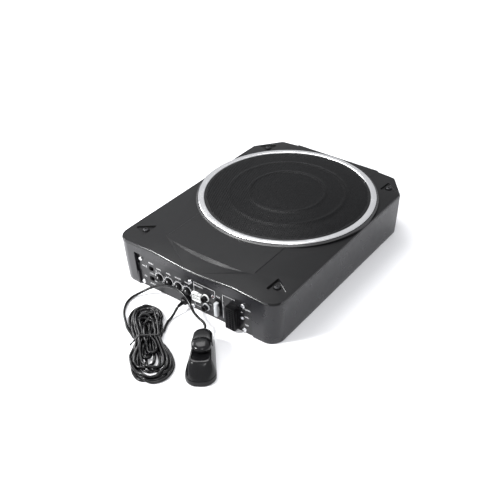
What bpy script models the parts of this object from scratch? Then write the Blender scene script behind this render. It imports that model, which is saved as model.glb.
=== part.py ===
"""Under-seat powered car subwoofer with its wired level remote. Metres, +Z up.

A cast tray and a faceted cover enclose an 8-inch slim woofer behind a round grille, an amplifier
board and a control panel. The origin is the middle of the tray's underside. The control panel faces
-Y. The remote lies in front of the panel, and its cord is folded into a tied hank beside it.
"""

import math

import bmesh
import bpy
from mathutils import Matrix, Vector
from mathutils.geometry import delaunay_2d_cdt

# Enclosure
HALF_WIDTH = 0.126
HALF_LENGTH = 0.1684
FRONT_CORNER_R = 0.022
REAR_CHAMFER_X = 0.029
REAR_CHAMFER_Y = 0.039
REAR_NOTCH_X = 0.069
REAR_NOTCH_DEPTH = 0.0022
GAP = 0.0003
WALL = 0.004
FLOOR = 0.004
SEAM_DROP = 0.0027
TRAY_SETBACK = 0.0003
TRAY_DRAFT = 0.003

# Cover top: a plateau between two wings, with a scooped centre at the front edge
PLATEAU_Z = 0.0673
PLATEAU_X = 0.0683
CREASE_STEP = 0.0005
CREASE_RUN = 0.001
WING_SLOPE = 0.055
REAR_FALL = 0.0022
REAR_FALL_START = 0.120
RIM_ROUND = 0.0018
COVER_UNDERSIDE_Z = 0.0606
COVER_LIP_Z = 0.0584
COVER_LIP_INSET = 0.0052
COVER_POCKET_INSET = 0.0080
SHOULDER = (0.063, -HALF_LENGTH)
SCOOP_CORNER = (0.010, -HALF_LENGTH)
SCOOP_Z = 0.0627
FACET_APEX = (0.0695, -0.1330)
BROW_HALF_WIDTH = 0.057
BROW_Y = -0.1372
BROW_BOW = 0.0018
BROW_RUN = 0.0036
BROW_DROP = 0.0034

# Woofer opening, grille and trim
WOOFER_Y = 0.0366
HOLE_R = 0.104
GRILLE_R = 0.1132
TRIM_INNER_R = 0.1137
TRIM_OUTER_R = 0.122
BOSS_R = 0.1238
BOSS_Z = 0.0685
LEDGE_Z = 0.0680
GRILLE_Z = (0.0683, 0.0694)
GRILLE_RISE = 0.0042
TRIM_Z = (0.0688, 0.0702)

# Cover screws stand in triangular recesses
SCREW_X = 0.1035
SCREW_FRONT_Y = -0.1345
SCREW_REAR_Y = 0.1355
RECESS_FLOOR_Z = 0.0626
RECESS_CORNERS = [(-0.0070, 0.0135), (-0.0075, -0.0115), (0.0155, -0.0020)]

# Control panel
PANEL_X = (-0.0950, 0.0895)
PANEL_FRONT_Y = -0.163
PANEL_THICK = 0.002
PANEL_TOP_Z = 0.052
KNOB_R = 0.0045
KNOBS = {"gain": (-0.0590, 0.0236), "crossover": (-0.0430, 0.0238), "boost": (-0.0270, 0.0238),
         "phase": (-0.0130, 0.0232)}
SWITCH_X = -0.072
SWITCH_Z = {"input": 0.0318, "power_mode": 0.0160}
RCA_X = 0.0173
RCA_Z = {"upper": 0.0264, "lower": 0.0124}
SPEAKER_SOCKET = (0.0036, 0.0218)
REMOTE_JACK = (-0.0135, 0.0108)
FUSE = (0.0365, 0.0200)
POWER_SOCKET = (0.0610, 0.0205)
POWER_LED = (0.0728, 0.0215)
PROTECT_LED = (0.0288, 0.0335)
PANEL_SCREWS = [(-0.0890, 0.0415), (-0.0870, 0.0060), (-0.0065, 0.0410), (-0.0045, 0.0044),
                (0.0745, 0.0410), (0.0760, 0.0050)]
PANEL_SCREW_R = 0.0029

# Remote, in its own frame: +Y runs from its near end to its cord end
REMOTE_NEAR_END = (0.0897, -0.2638, 0.0)
REMOTE_YAW = math.radians(35.45)
REMOTE_LENGTH = 0.078
REMOTE_SEAM_Z = 0.007
REMOTE_KNOB_Y = 0.0395
REMOTE_KNOB_R = 0.0115
REMOTE_CORD_Z = 0.0100

# Cord
CORD_D = 0.0035
CORD_Z = 0.0019
ROUTE_SPACING = 0.0070
LEAD_ROUTE = [(-0.0135, -0.1824, 0.0098), (-0.0133, -0.1870, 0.0068), (-0.0128, -0.1940, 0.0032),
              (-0.0120, -0.2020, CORD_Z), (-0.0108, -0.2090, CORD_Z), (-0.0099, -0.2130, CORD_Z)]
ARC_ROUTE = [(0.0408, -0.1951, 0.0101), (0.0378, -0.1908, 0.0108), (0.0325, -0.1874, 0.0118),
             (0.0240, -0.1856, 0.0128), (0.0140, -0.1822, 0.0138), (0.0050, -0.1774, 0.0155),
             (-0.0030, -0.1735, 0.0190), (-0.0110, -0.1712, 0.0225), (-0.0215, -0.1692, 0.0245),
             (-0.0340, -0.1688, 0.0238), (-0.0470, -0.1692, 0.0200), (-0.0590, -0.1715, 0.0150),
             (-0.0690, -0.1765, 0.0092), (-0.0765, -0.1845, 0.0042), (-0.0806, -0.1945, CORD_Z),
             (-0.0774, -0.2075, CORD_Z), (-0.0673, -0.2218, CORD_Z), (-0.0523, -0.2336, CORD_Z),
             (-0.0330, -0.2465, CORD_Z), (-0.0162, -0.2583, CORD_Z)]
HANK_TOP = (-0.0560, -0.1900)
HANK_YAW = math.radians(-47.1)
HANK_HEIGHT = 0.0120
HANK_LIFT = 0.0008
UPPER_LOBE = (0.018, -0.003, 0.0215)
LOWER_LOBE = (0.119, 0.005, 0.0270)
WAIST = (0.071, -0.0003, 0.0140)
TIE_WIDTH = 0.004

SEGMENTS = 64
SMALL_SEGMENTS = 20


def clear_scene():
    for item in list(bpy.data.objects):
        bpy.data.objects.remove(item, do_unlink=True)


def material(name, colour, roughness, metallic):
    """Return the named Principled material, made on first use."""
    found = bpy.data.materials.get(name)
    if found:
        return found
    made = bpy.data.materials.new(name)
    made.use_nodes = True
    shader = made.node_tree.nodes["Principled BSDF"]
    shader.inputs["Base Color"].default_value = (*colour, 1.0)
    shader.inputs["Roughness"].default_value = roughness
    shader.inputs["Metallic"].default_value = metallic
    return made


COLOURS = {
    "cast_black": ((0.045, 0.045, 0.048), 0.45, 0.2),
    "panel_black": ((0.035, 0.035, 0.038), 0.5, 0.1),
    "silver": ((0.80, 0.80, 0.81), 0.25, 1.0),
    "grille_black": ((0.02, 0.02, 0.02), 0.55, 0.3),
    "black_plastic": ((0.015, 0.015, 0.016), 0.4, 0.0),
    "gloss_black": ((0.01, 0.01, 0.011), 0.12, 0.0),
    "rubber_black": ((0.02, 0.02, 0.02), 0.7, 0.0),
    "paper_black": ((0.03, 0.03, 0.03), 0.75, 0.0),
    "steel": ((0.55, 0.55, 0.57), 0.3, 1.0),
    "ferrite": ((0.07, 0.07, 0.075), 0.6, 0.1),
    "copper": ((0.65, 0.28, 0.12), 0.35, 1.0),
    "cloth": ((0.50, 0.38, 0.18), 0.85, 0.0),
    "board_green": ((0.02, 0.14, 0.06), 0.5, 0.0),
    "aluminium": ((0.60, 0.60, 0.62), 0.4, 1.0),
    "white_plastic": ((0.85, 0.85, 0.83), 0.4, 0.0),
    "clear_plastic": ((0.70, 0.71, 0.72), 0.2, 0.0),
    "led_blue": ((0.10, 0.25, 0.85), 0.2, 0.0),
    "led_red": ((0.75, 0.05, 0.03), 0.2, 0.0),
    "cord_black": ((0.012, 0.012, 0.013), 0.35, 0.0),
}


def add_object(name, mesh_data, finish):
    """Link one named sub-part, with its material, to the scene."""
    made = bpy.data.objects.new(name, mesh_data)
    bpy.context.scene.collection.objects.link(made)
    if finish:
        colour, roughness, metallic = COLOURS[finish]
        made.data.materials.clear()
        made.data.materials.append(material(finish, colour, roughness, metallic))
    return made


def mesh_from(build, name, smooth_degrees=None):
    """Turn a finished bmesh into mesh data with its faces pointing out."""
    bmesh.ops.recalc_face_normals(build, faces=build.faces)
    data = bpy.data.meshes.new(name)
    build.to_mesh(data)
    build.free()
    if smooth_degrees:
        data.shade_smooth()
        data.set_sharp_from_angle(angle=math.radians(smooth_degrees))
    return data


def turned(name, profile, finish, segments=SEGMENTS, centre=(0.0, 0.0, 0.0)):
    """Spin a closed profile of (radius, height) points about +Z."""
    build = bmesh.new()
    verts = [build.verts.new((radius, 0.0, height)) for radius, height in profile]
    edges = [build.edges.new((verts[i - 1], verts[i])) for i in range(len(verts))]
    bmesh.ops.spin(build, geom=verts + edges, cent=(0, 0, 0), axis=(0, 0, 1),
                   angle=2 * math.pi, steps=segments, use_duplicate=False)
    bmesh.ops.remove_doubles(build, verts=build.verts, dist=1e-6)
    on_axis = [edge for edge in build.edges if all(math.hypot(*v.co.xy) < 1e-7 for v in edge.verts)]
    bmesh.ops.delete(build, geom=on_axis, context="EDGES")
    made = add_object(name, mesh_from(build, name, smooth_degrees=35), finish)
    made.location = centre
    return made


def lofted(name, loops, finish, smooth_degrees=None):
    """Skin a stack of loops that have equal point counts, and cap both ends."""
    build = bmesh.new()
    rings = [[build.verts.new(point) for point in loop] for loop in loops]
    for lower, upper in zip(rings, rings[1:]):
        for i in range(len(lower)):
            build.faces.new((lower[i - 1], lower[i], upper[i], upper[i - 1]))
    build.faces.new(rings[0])
    build.faces.new(rings[-1])
    return add_object(name, mesh_from(build, name, smooth_degrees), finish)


def box(name, low, high, finish):
    """A block between two opposite corners, as an object at its own centre."""
    build = bmesh.new()
    bmesh.ops.create_cube(build, size=1.0)
    size = [b - a for a, b in zip(low, high)]
    bmesh.ops.scale(build, vec=size, verts=build.verts)
    made = add_object(name, mesh_from(build, name), finish)
    made.location = [(a + b) / 2 for a, b in zip(low, high)]
    return made


def rod(name, radius, start, end, finish, segments=SMALL_SEGMENTS):
    """A round bar from one point to another."""
    start, end = Vector(start), Vector(end)
    build = bmesh.new()
    bmesh.ops.create_cone(build, cap_ends=True, segments=segments, radius1=radius, radius2=radius,
                          depth=(end - start).length)
    made = add_object(name, mesh_from(build, name, smooth_degrees=35), finish)
    made.rotation_euler = (end - start).to_track_quat("Z", "Y").to_euler()
    made.location = (start + end) / 2
    return made


def hide_cutter(cutter):
    cutter.hide_render = True
    cutter.display_type = "WIRE"


def cut(target, *cutters):
    for cutter in cutters:
        hide_cutter(cutter)
        modifier = target.modifiers.new(f"cut_{cutter.name}", "BOOLEAN")
        modifier.operation = "DIFFERENCE"
        modifier.object = cutter


def join(target, *additions):
    for addition in additions:
        hide_cutter(addition)
        modifier = target.modifiers.new(f"join_{addition.name}", "BOOLEAN")
        modifier.operation = "UNION"
        modifier.object = addition


# Outline of the enclosure, seen from above


def arc_points(centre, radius, start, end, steps):
    return [(centre[0] + radius * math.cos(math.radians(start + (end - start) * i / steps)),
             centre[1] + radius * math.sin(math.radians(start + (end - start) * i / steps)))
            for i in range(steps + 1)]


def right_half_outline():
    """Points from the scoop's corner round the right side to the rear notch."""
    corner = (HALF_WIDTH - FRONT_CORNER_R, -HALF_LENGTH + FRONT_CORNER_R)
    rear_y = HALF_LENGTH - REAR_NOTCH_DEPTH
    return ([SCOOP_CORNER, SHOULDER]
            + arc_points(corner, FRONT_CORNER_R, -90, 0, 10)
            + [(HALF_WIDTH, -0.045), (HALF_WIDTH, 0.045)]
            + [(HALF_WIDTH, HALF_LENGTH - REAR_CHAMFER_Y), (HALF_WIDTH - REAR_CHAMFER_X, rear_y),
               (REAR_NOTCH_X + CREASE_RUN, rear_y), (REAR_NOTCH_X, HALF_LENGTH)])


def mirrored(points):
    """Close a right half with its mirror image, counter-clockwise from above."""
    return points + [(-x, y) for x, y in reversed(points)]


def offset_inward(points, distance):
    """Move each edge of a counter-clockwise outline inward by the same distance."""
    if distance == 0:
        return list(points)
    moved = []
    count = len(points)
    for i in range(count):
        before, here, after = (Vector(points[(i + k) % count]) for k in (-1, 0, 1))
        normal_in = Vector((-(here - before).y, (here - before).x)).normalized()
        normal_out = Vector((-(after - here).y, (after - here).x)).normalized()
        mitre = (normal_in + normal_out) / (1 + normal_in.dot(normal_out))
        moved.append(tuple(here + mitre * distance))
    return moved


OUTLINE = mirrored(right_half_outline())


# Cover


def rear_fall(y):
    reach = max(0.0, y - REAR_FALL_START) / (HALF_LENGTH - REAR_FALL_START)
    return REAR_FALL * reach


def cover_height(x, y):
    """Height of the cover's top outside the scooped front centre."""
    beside = abs(x) - PLATEAU_X
    if beside <= 1e-6:
        return PLATEAU_Z - rear_fall(y)
    step = CREASE_STEP * min(1.0, beside / CREASE_RUN)
    return PLATEAU_Z - step - WING_SLOPE * max(0.0, beside - CREASE_RUN) - rear_fall(y)


def front_edge_height(x):
    """Height along the front edge, which dips between its two shoulders."""
    side = abs(x)
    if side >= SHOULDER[0]:
        return PLATEAU_Z - WING_SLOPE * (side - SHOULDER[0])
    share = max(0.0, side - SCOOP_CORNER[0]) / (SHOULDER[0] - SCOOP_CORNER[0])
    return SCOOP_Z + (PLATEAU_Z - SCOOP_Z) * share


def rim_heights():
    """Height of the cover's top at each point of its outline."""
    return [rim_height(x, y) for x, y in offset_inward(OUTLINE, RIM_ROUND)]


def rim_height(x, y):
    if y < -HALF_LENGTH + RIM_ROUND + 1e-4 and abs(x) < HALF_WIDTH - FRONT_CORNER_R:
        return front_edge_height(x)
    return cover_height(x, y)


def brow_line(forward, steps=12):
    """One long edge of the bright step above the scoop, bowed towards the front in its middle."""
    points = []
    for i in range(steps + 1):
        across = -1 + 2 * i / steps
        belly = 1 - across * across
        points.append((BROW_HALF_WIDTH * across, BROW_Y - (BROW_BOW + forward) * belly))
    return points


def cover_top_points():
    """Corner points with their heights, and the creases between them, for the cover's top."""
    rim = offset_inward(OUTLINE, RIM_ROUND)
    points = [(x, y, z) for (x, y), z in zip(rim, rim_heights())]
    edges = [(i, (i + 1) % len(rim)) for i in range(len(rim))]
    index = {}
    for side in (-1, 1):
        first = len(points)
        apex_x, apex_y = side * FACET_APEX[0], FACET_APEX[1]
        points.append((apex_x, apex_y, PLATEAU_Z - CREASE_STEP / 2))
        points.append((side * PLATEAU_X, apex_y + 0.003, PLATEAU_Z))
        points.append((side * (PLATEAU_X + CREASE_RUN), apex_y + 0.003, PLATEAU_Z - CREASE_STEP))
        points.append((side * PLATEAU_X, REAR_FALL_START, PLATEAU_Z))
        points.append((side * (PLATEAU_X + CREASE_RUN), REAR_FALL_START, PLATEAU_Z - CREASE_STEP))
        edges += [(first, first + 1), (first, first + 2), (first + 1, first + 3), (first + 2, first + 4)]
        index[side] = first
    right, left = index[1], index[-1]
    scoop_right, shoulder_right = 0, 1
    scoop_left, shoulder_left = len(rim) - 1, len(rim) - 2
    edges += [(right, shoulder_right), (right, scoop_right), (left, shoulder_left), (left, scoop_left)]
    upper = brow_line(0.0)
    lower = brow_line(BROW_RUN)
    first_upper = len(points)
    points += [(x, y, PLATEAU_Z) for x, y in upper]
    edges += [(first_upper + i, first_upper + i + 1) for i in range(len(upper) - 1)]
    first_lower = len(points)
    for x, y in lower[1:-1]:
        belly = 1 - (x / BROW_HALF_WIDTH) ** 2
        points.append((x, y, PLATEAU_Z - BROW_DROP * belly))
    chain = [first_upper] + list(range(first_lower, len(points))) + [first_upper + len(upper) - 1]
    edges += list(zip(chain, chain[1:]))
    edges += [(left, first_upper), (right, first_upper + len(upper) - 1)]
    return points, edges, len(rim)


def make_cover_shell():
    """The cover before its openings: a faceted top, a rounded rim, and a lip inside the tray's wall."""
    points, edges, rim_count = cover_top_points()
    flat = [Vector((x, y)) for x, y, _ in points]
    found, _, faces, origins, _, _ = delaunay_2d_cdt(flat, edges, [list(range(rim_count))], 1, 1e-7)
    build = bmesh.new()
    top = []
    for i, place in enumerate(found):
        source = origins[i][0] if origins[i] else None
        height = points[source][2] if source is not None else cover_height(*place)
        top.append(build.verts.new((place.x, place.y, height)))
    for face in faces:
        build.faces.new([top[i] for i in face])
    rim_verts = [top[next(k for k, source in enumerate(origins) if i in source)] for i in range(rim_count)]
    rings = [rim_verts]
    for inset, drop in ((RIM_ROUND * 0.3, RIM_ROUND * 0.3), (0.0, RIM_ROUND)):
        ring = offset_inward(OUTLINE, inset)
        rings.append([build.verts.new((x, y, rim_verts[i].co.z - drop)) for i, (x, y) in enumerate(ring)])
    seam = [z - SEAM_DROP for z in rim_heights()]
    underside = [(0.0, seam), (COVER_LIP_INSET, seam), (COVER_LIP_INSET, [COVER_LIP_Z] * rim_count),
                 (COVER_POCKET_INSET, [COVER_LIP_Z] * rim_count),
                 (COVER_POCKET_INSET, [COVER_UNDERSIDE_Z] * rim_count)]
    for inset, heights in underside:
        ring = offset_inward(OUTLINE, inset)
        rings.append([build.verts.new((*place, z)) for place, z in zip(ring, heights)])
    for upper, lower in zip(rings, rings[1:]):
        for i in range(rim_count):
            build.faces.new((upper[i - 1], upper[i], lower[i], lower[i - 1]))
    build.faces.new(rings[-1])
    return add_object("top_cover", mesh_from(build, "top_cover", smooth_degrees=20), "cast_black")


def recess_cutter(name, x, y):
    """A three-sided pocket round one cover screw, mirrored on the left side."""
    side = 1 if x > 0 else -1
    corners = [(x + side * dx, y + dy) for dx, dy in RECESS_CORNERS]
    floor = [(px, py, RECESS_FLOOR_Z) for px, py in corners]
    centre = Vector((sum(p[0] for p in corners) / 3, sum(p[1] for p in corners) / 3))
    mouth = [(*(centre + (Vector(p) - centre) * 1.18), 0.075) for p in corners]
    return lofted(name, [floor, mouth], None)


def make_cover():
    cover = make_cover_shell()
    boss = turned("boss_ring", [(0.100, 0.0615), (0.100, BOSS_Z), (BOSS_R - 0.0005, BOSS_Z),
                                (BOSS_R, BOSS_Z - 0.0005), (BOSS_R, 0.0615)], None)
    opening = turned("woofer_opening", [(0.0, 0.050), (HOLE_R, 0.050), (HOLE_R, LEDGE_Z),
                                        (GRILLE_R + GAP, LEDGE_Z), (GRILLE_R + GAP, 0.080),
                                        (0.0, 0.080)], None)
    for piece in (boss, opening):
        piece.location.y = WOOFER_Y
    join(cover, boss)
    cut(cover, opening)
    for name, (x, y) in screw_places().items():
        cut(cover, recess_cutter(f"recess_{name}", x, y),
            rod(f"clearance_{name}", 0.0023, (x, y, 0.050), (x, y, 0.080), None))
    return cover


def screw_places():
    return {"front_left": (-SCREW_X, SCREW_FRONT_Y), "front_right": (SCREW_X, SCREW_FRONT_Y),
            "rear_left": (-SCREW_X, SCREW_REAR_Y), "rear_right": (SCREW_X, SCREW_REAR_Y)}


def make_cover_screws():
    """Four pan-head screws that share one mesh."""
    head_low = RECESS_FLOOR_Z + GAP
    profile = [(0.0, 0.0), (0.0015, 0.0), (0.0020, 0.0008), (0.0020, head_low - 0.044),
               (0.0038, head_low - 0.044), (0.0038, head_low - 0.0427),
               (0.0028, head_low - 0.0419), (0.0, head_low - 0.0417)]
    first = None
    for name, (x, y) in screw_places().items():
        if first is None:
            first = turned(f"cover_screw_{name}", profile, "steel", SMALL_SEGMENTS, (x, y, 0.044))
            continue
        add_object(f"cover_screw_{name}", first.data, None).location = (x, y, 0.044)


# Tray


def tray_outline(inset, height):
    return [(x, y, height) for x, y in offset_inward(OUTLINE, TRAY_SETBACK + inset)]


def tray_rim(inset):
    places = offset_inward(OUTLINE, TRAY_SETBACK + inset)
    return [(*place, z - SEAM_DROP - GAP) for place, z in zip(places, rim_heights())]


def make_tray():
    """Cast tray: drafted walls, a panel window at the front and a post under each cover screw."""
    tray = lofted("lower_tray", [tray_outline(TRAY_DRAFT + 0.0022, 0.0), tray_outline(TRAY_DRAFT + 0.0006, 0.0007),
                                 tray_outline(TRAY_DRAFT, 0.0024), tray_rim(0.0), tray_rim(WALL),
                                 tray_outline(TRAY_DRAFT + WALL, FLOOR)],
                  "cast_black", smooth_degrees=20)
    window_back = PANEL_FRONT_Y + PANEL_THICK + GAP
    window = box("panel_window", (PANEL_X[0], -0.180, -0.002), (PANEL_X[1], window_back, PANEL_TOP_Z), None)
    relief = box("window_relief", (PANEL_X[0], -0.170, FLOOR + 0.0002), (PANEL_X[1], -0.158, PANEL_TOP_Z), None)
    cut(tray, window, relief)
    for k, (x, z) in enumerate(PANEL_SCREWS):
        if z < 0.010:
            cut(tray, rod(f"floor_bore_{k}", 0.0016, (x, -0.165, z), (x, -0.154, z), None, 16))
    for name, (x, y) in screw_places().items():
        join(tray, rod(f"post_{name}", 0.0055, (x, y, FLOOR - 0.001), (x, y, COVER_UNDERSIDE_Z - GAP), None))
        cut(tray, rod(f"bore_{name}", 0.0023, (x, y, 0.040), (x, y, 0.070), None, 16))
    return tray


# Trim ring, grille and woofer


def half_roll(inner_r, outer_r, base_z, crest_z, steps, shrink=0.0):
    """Points of an upward half roll, from its outer edge to its inner edge."""
    middle, half = (inner_r + outer_r) / 2, (outer_r - inner_r) / 2 - shrink
    rise = crest_z - base_z - shrink
    return [(middle + half * math.cos(math.pi * i / steps), base_z + rise * math.sin(math.pi * i / steps))
            for i in range(steps + 1)]


def make_trim_and_grille():
    centre = (0.0, WOOFER_Y, 0.0)
    low, high = TRIM_Z
    turned("trim_ring", [(TRIM_INNER_R, low), (TRIM_OUTER_R, low), (TRIM_OUTER_R, low + 0.0006),
                         (TRIM_OUTER_R - 0.0007, high - 0.0002), (TRIM_OUTER_R - 0.0015, high),
                         (TRIM_INNER_R + 0.0015, high), (TRIM_INNER_R + 0.0006, high - 0.0003),
                         (TRIM_INNER_R, high - 0.0009)], "silver", centre=centre)
    low, high = GRILLE_Z
    domed = [(GRILLE_R * i / 8, GRILLE_RISE * (1 - (i / 8) ** 2)) for i in range(8)]
    turned("speaker_grille", [(r, low + rise) for r, rise in domed]
           + [(GRILLE_R, low), (GRILLE_R, high - 0.0004), (GRILLE_R - 0.0004, high)]
           + [(r, high + rise) for r, rise in reversed(domed)], "grille_black", centre=centre)


def make_woofer():
    """Moving cone, dust cap and coil, their surround and spider, and the basket and motor."""
    centre = (0.0, WOOFER_Y, 0.0)
    turned("woofer_gasket", [(0.1000, 0.0586), (0.1130, 0.0586), (0.1130, 0.0603), (0.1000, 0.0603)],
           "rubber_black", centre=centre)
    basket = turned("woofer_basket", [(0.0925, 0.0583), (0.0925, 0.0555), (0.0680, 0.0345), (0.0420, 0.0318),
                                      (0.0420, 0.0300), (0.0700, 0.0318), (0.0960, 0.0543),
                                      (0.1130, 0.0563), (0.1130, 0.0583)], "black_plastic", 48, centre)
    for k in range(3):
        window = box(f"basket_window_{k}", (-0.017, -0.110, 0.0365), (0.017, 0.110, 0.0505), None)
        window.location = (0.0, WOOFER_Y, 0.0435)
        window.rotation_euler.z = math.radians(60 * k)
        cut(basket, window)
    rubber = half_roll(0.0780, 0.0935, 0.0594, 0.0660, 8)
    inside = half_roll(0.0780, 0.0935, 0.0594, 0.0660, 8, shrink=0.0010)
    turned("woofer_surround", [(0.0975, 0.0586), (0.0975, 0.0594)] + rubber + [(0.0755, 0.0602), (0.0755, 0.0594)]
           + inside[::-1] + [(0.0925, 0.0586)], "rubber_black", 48, centre)
    turned("woofer_cone", [(0.0775, 0.0580), (0.0790, 0.0583), (0.0775, 0.0590), (0.0262, 0.0472),
                           (0.0262, 0.0460)], "paper_black", 56, centre)
    shoulder = half_roll(0.0470, 0.0545, 0.0578, 0.0628, 6)[:4]
    turned("dust_cap", [(0.0545, 0.0542)] + shoulder + [(0.0300, 0.0637), (0.0, 0.0640), (0.0, 0.0628),
                                                       (0.0500, 0.0612), (0.0533, 0.0578), (0.0533, 0.0542)],
           "paper_black", 48, centre)
    turned("voice_coil_former", [(0.0250, 0.0180), (0.0257, 0.0180), (0.0257, 0.0475), (0.0250, 0.0475)],
           "copper", 40, centre)
    ridge = 0.0012
    waves = [(0.0265 + 0.0350 * i / 10, 0.0385 + ridge * (-1) ** i * (0 < i < 10)) for i in range(11)]
    turned("woofer_spider", [(r, z - 0.0004) for r, z in waves] + [(r, z + 0.0004) for r, z in reversed(waves)],
           "cloth", 40, centre)
    turned("motor_top_plate", [(0.0272, 0.0243), (0.0560, 0.0243), (0.0560, 0.0297), (0.0272, 0.0297)],
           "steel", 40, centre)
    turned("ring_magnet", [(0.0310, 0.0098), (0.0600, 0.0098), (0.0600, 0.0240), (0.0310, 0.0240)],
           "ferrite", 40, centre)
    turned("motor_back_yoke", [(0.0, 0.0043), (0.0560, 0.0043), (0.0560, 0.0095), (0.0236, 0.0095),
                               (0.0236, 0.0300), (0.0, 0.0300)], "steel", 40, centre)


# Amplifier


def make_amplifier():
    box("amplifier_board", (-0.086, -0.146, 0.0090), (0.086, -0.084, 0.0106), "board_green")
    toroid = turned("toroid_coil", [(0.0070 + 0.0, 0.0112), (0.0150, 0.0112), (0.0165, 0.0127), (0.0165, 0.0237),
                                    (0.0150, 0.0252), (0.0070, 0.0252), (0.0058, 0.0240), (0.0058, 0.0124)],
                    "copper", 32, (-0.052, -0.112, 0.0))
    toroid.location.z = 0.0
    rod("filter_capacitor_left", 0.0080, (-0.014, -0.114, 0.0109), (-0.014, -0.114, 0.0400), "gloss_black", 24)
    rod("filter_capacitor_right", 0.0080, (0.006, -0.114, 0.0109), (0.006, -0.114, 0.0400), "gloss_black", 24)
    box("transistor_clamp", (0.030, -0.142, 0.0109), (0.080, -0.131, 0.0250), "aluminium")


# Control panel


def make_panel():
    front, back = PANEL_FRONT_Y, PANEL_FRONT_Y + PANEL_THICK
    panel = box("control_panel", (PANEL_X[0] + GAP, front, 0.0005), (PANEL_X[1] - GAP, back, PANEL_TOP_Z - 0.0005),
                "panel_black")
    for name, (x, z) in KNOBS.items():
        cut(panel, rod(f"{name}_hole", KNOB_R + 0.0005, (x, front - 0.01, z), (x, back + 0.01, z), None, 24))
    for name, z in SWITCH_Z.items():
        cut(panel, box(f"{name}_slot", (SWITCH_X - 0.0038, front - 0.01, z - 0.0031),
                       (SWITCH_X + 0.0038, back + 0.01, z + 0.0031), None))
    x, z = SPEAKER_SOCKET
    cut(panel, box("speaker_cutout", (x - 0.0073, front - 0.01, z - 0.0067),
                   (x + 0.0073, back + 0.01, z + 0.0067), None))
    x, z = REMOTE_JACK
    cut(panel, box("jack_cutout", (x - 0.0052, front - 0.01, z - 0.0049),
                   (x + 0.0052, back + 0.01, z + 0.0049), None))
    x, z = FUSE
    cut(panel, box("fuse_cutout", (x - 0.0042, front - 0.01, z - 0.0118),
                   (x + 0.0042, back + 0.01, z + 0.0118), None))
    x, z = POWER_SOCKET
    cut(panel, box("power_cutout", (x - 0.0073, front - 0.01, z - 0.0163),
                   (x + 0.0073, back + 0.01, z + 0.0163), None))
    for name, z in RCA_Z.items():
        cut(panel, rod(f"rca_{name}_hole", 0.0040, (RCA_X, front - 0.01, z), (RCA_X, back + 0.01, z), None))
    for name, (x, z) in (("power", POWER_LED), ("protect", PROTECT_LED)):
        cut(panel, rod(f"{name}_led_hole", 0.0019, (x, front - 0.01, z), (x, back + 0.01, z), None, 16))
    for k, (x, z) in enumerate(PANEL_SCREWS):
        cut(panel, rod(f"panel_screw_hole_{k}", 0.0015, (x, front - 0.01, z), (x, back + 0.01, z), None, 12))


def make_knobs():
    """Four fluted knobs that pass through the panel, each with its potentiometer behind."""
    for name, (x, z) in KNOBS.items():
        knob = rod(f"{name}_knob", KNOB_R, (x, -0.1580, z), (x, -0.1668, z), "black_plastic", 24)
        knob.location = (x, -0.1624, z)
        cut(knob, box(f"{name}_pointer", (x - 0.0006, -0.1680, z), (x + 0.0006, -0.1660, z + 0.006), None))
        box(f"{name}_potentiometer", (x - 0.0052, -0.1577, z - 0.0056), (x + 0.0052, -0.1500, z + 0.0056),
            "board_green")


def make_switches():
    top, bottom = SWITCH_Z["input"], SWITCH_Z["power_mode"]
    box("slide_switch_block", (SWITCH_X - 0.0062, -0.1592, bottom - 0.006),
        (SWITCH_X + 0.0062, -0.1510, top + 0.006), "black_plastic")
    for name, z in SWITCH_Z.items():
        box(f"{name}_slider", (SWITCH_X - 0.0034, -0.1640, z - 0.0026), (SWITCH_X - 0.0004, -0.1595, z + 0.0026),
            "black_plastic")


def make_sockets():
    x, z = SPEAKER_SOCKET
    socket = box("speaker_level_socket", (x - 0.0070, -0.1665, z - 0.0064), (x + 0.0070, -0.1560, z + 0.0064),
                 "white_plastic")
    cut(socket, box("speaker_socket_hollow", (x - 0.0058, -0.1700, z - 0.0051),
                    (x + 0.0058, -0.1590, z + 0.0051), None))
    for name, z in RCA_Z.items():
        barrel = turned(f"rca_jack_{name}", [(0.0018, 0.0), (0.0036, 0.0), (0.0036, 0.0055), (0.0052, 0.0055),
                                             (0.0052, 0.0068), (0.0042, 0.0072), (0.0042, 0.0135),
                                             (0.0018, 0.0135)], "white_plastic", 24, (RCA_X, -0.1580, z))
        barrel.rotation_euler.x = math.radians(90)
        barrel.location.y = PANEL_FRONT_Y + 0.0055 - GAP
    x, z = REMOTE_JACK
    jack = box("remote_jack", (x - 0.0049, -0.1642, z - 0.0046), (x + 0.0049, -0.1510, z + 0.0046),
               "black_plastic")
    cut(jack, box("remote_jack_hollow", (x - 0.0037, -0.1660, z - 0.0034), (x + 0.0037, -0.1560, z + 0.0034), None))
    x, z = POWER_SOCKET
    block = box("power_socket", (x - 0.0070, -0.1730, z - 0.0160), (x + 0.0070, -0.1530, z + 0.0160),
                "black_plastic")
    for k in range(8):
        rib_z = z - 0.0126 + 0.0036 * k
        cut(block, box(f"power_groove_{k}", (x - 0.0052, -0.1740, rib_z - 0.0007),
                       (x + 0.0080, -0.1718, rib_z + 0.0007), None))


def make_fuse():
    x, z = FUSE
    holder = box("fuse_holder", (x - 0.0039, -0.1650, z - 0.0115), (x + 0.0039, -0.1500, z + 0.0115),
                 "black_plastic")
    cut(holder, box("fuse_slot", (x - 0.0026, -0.1700, z - 0.0102), (x + 0.0026, -0.1560, z + 0.0102), None))
    box("blade_fuse", (x - 0.0023, -0.1700, z - 0.0098), (x + 0.0023, -0.1565, z + 0.0098), "clear_plastic")


def make_leds():
    for name, (x, z), finish in (("power", POWER_LED, "led_blue"), ("protect", PROTECT_LED, "led_red")):
        lens = turned(f"{name}_led", [(0.0, 0.0), (0.0016, 0.0), (0.0016, 0.0048), (0.0012, 0.0058),
                                      (0.0, 0.0062)], finish, 16, (x, PANEL_FRONT_Y + 0.0045, z))
        lens.rotation_euler.x = math.radians(90)


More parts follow.
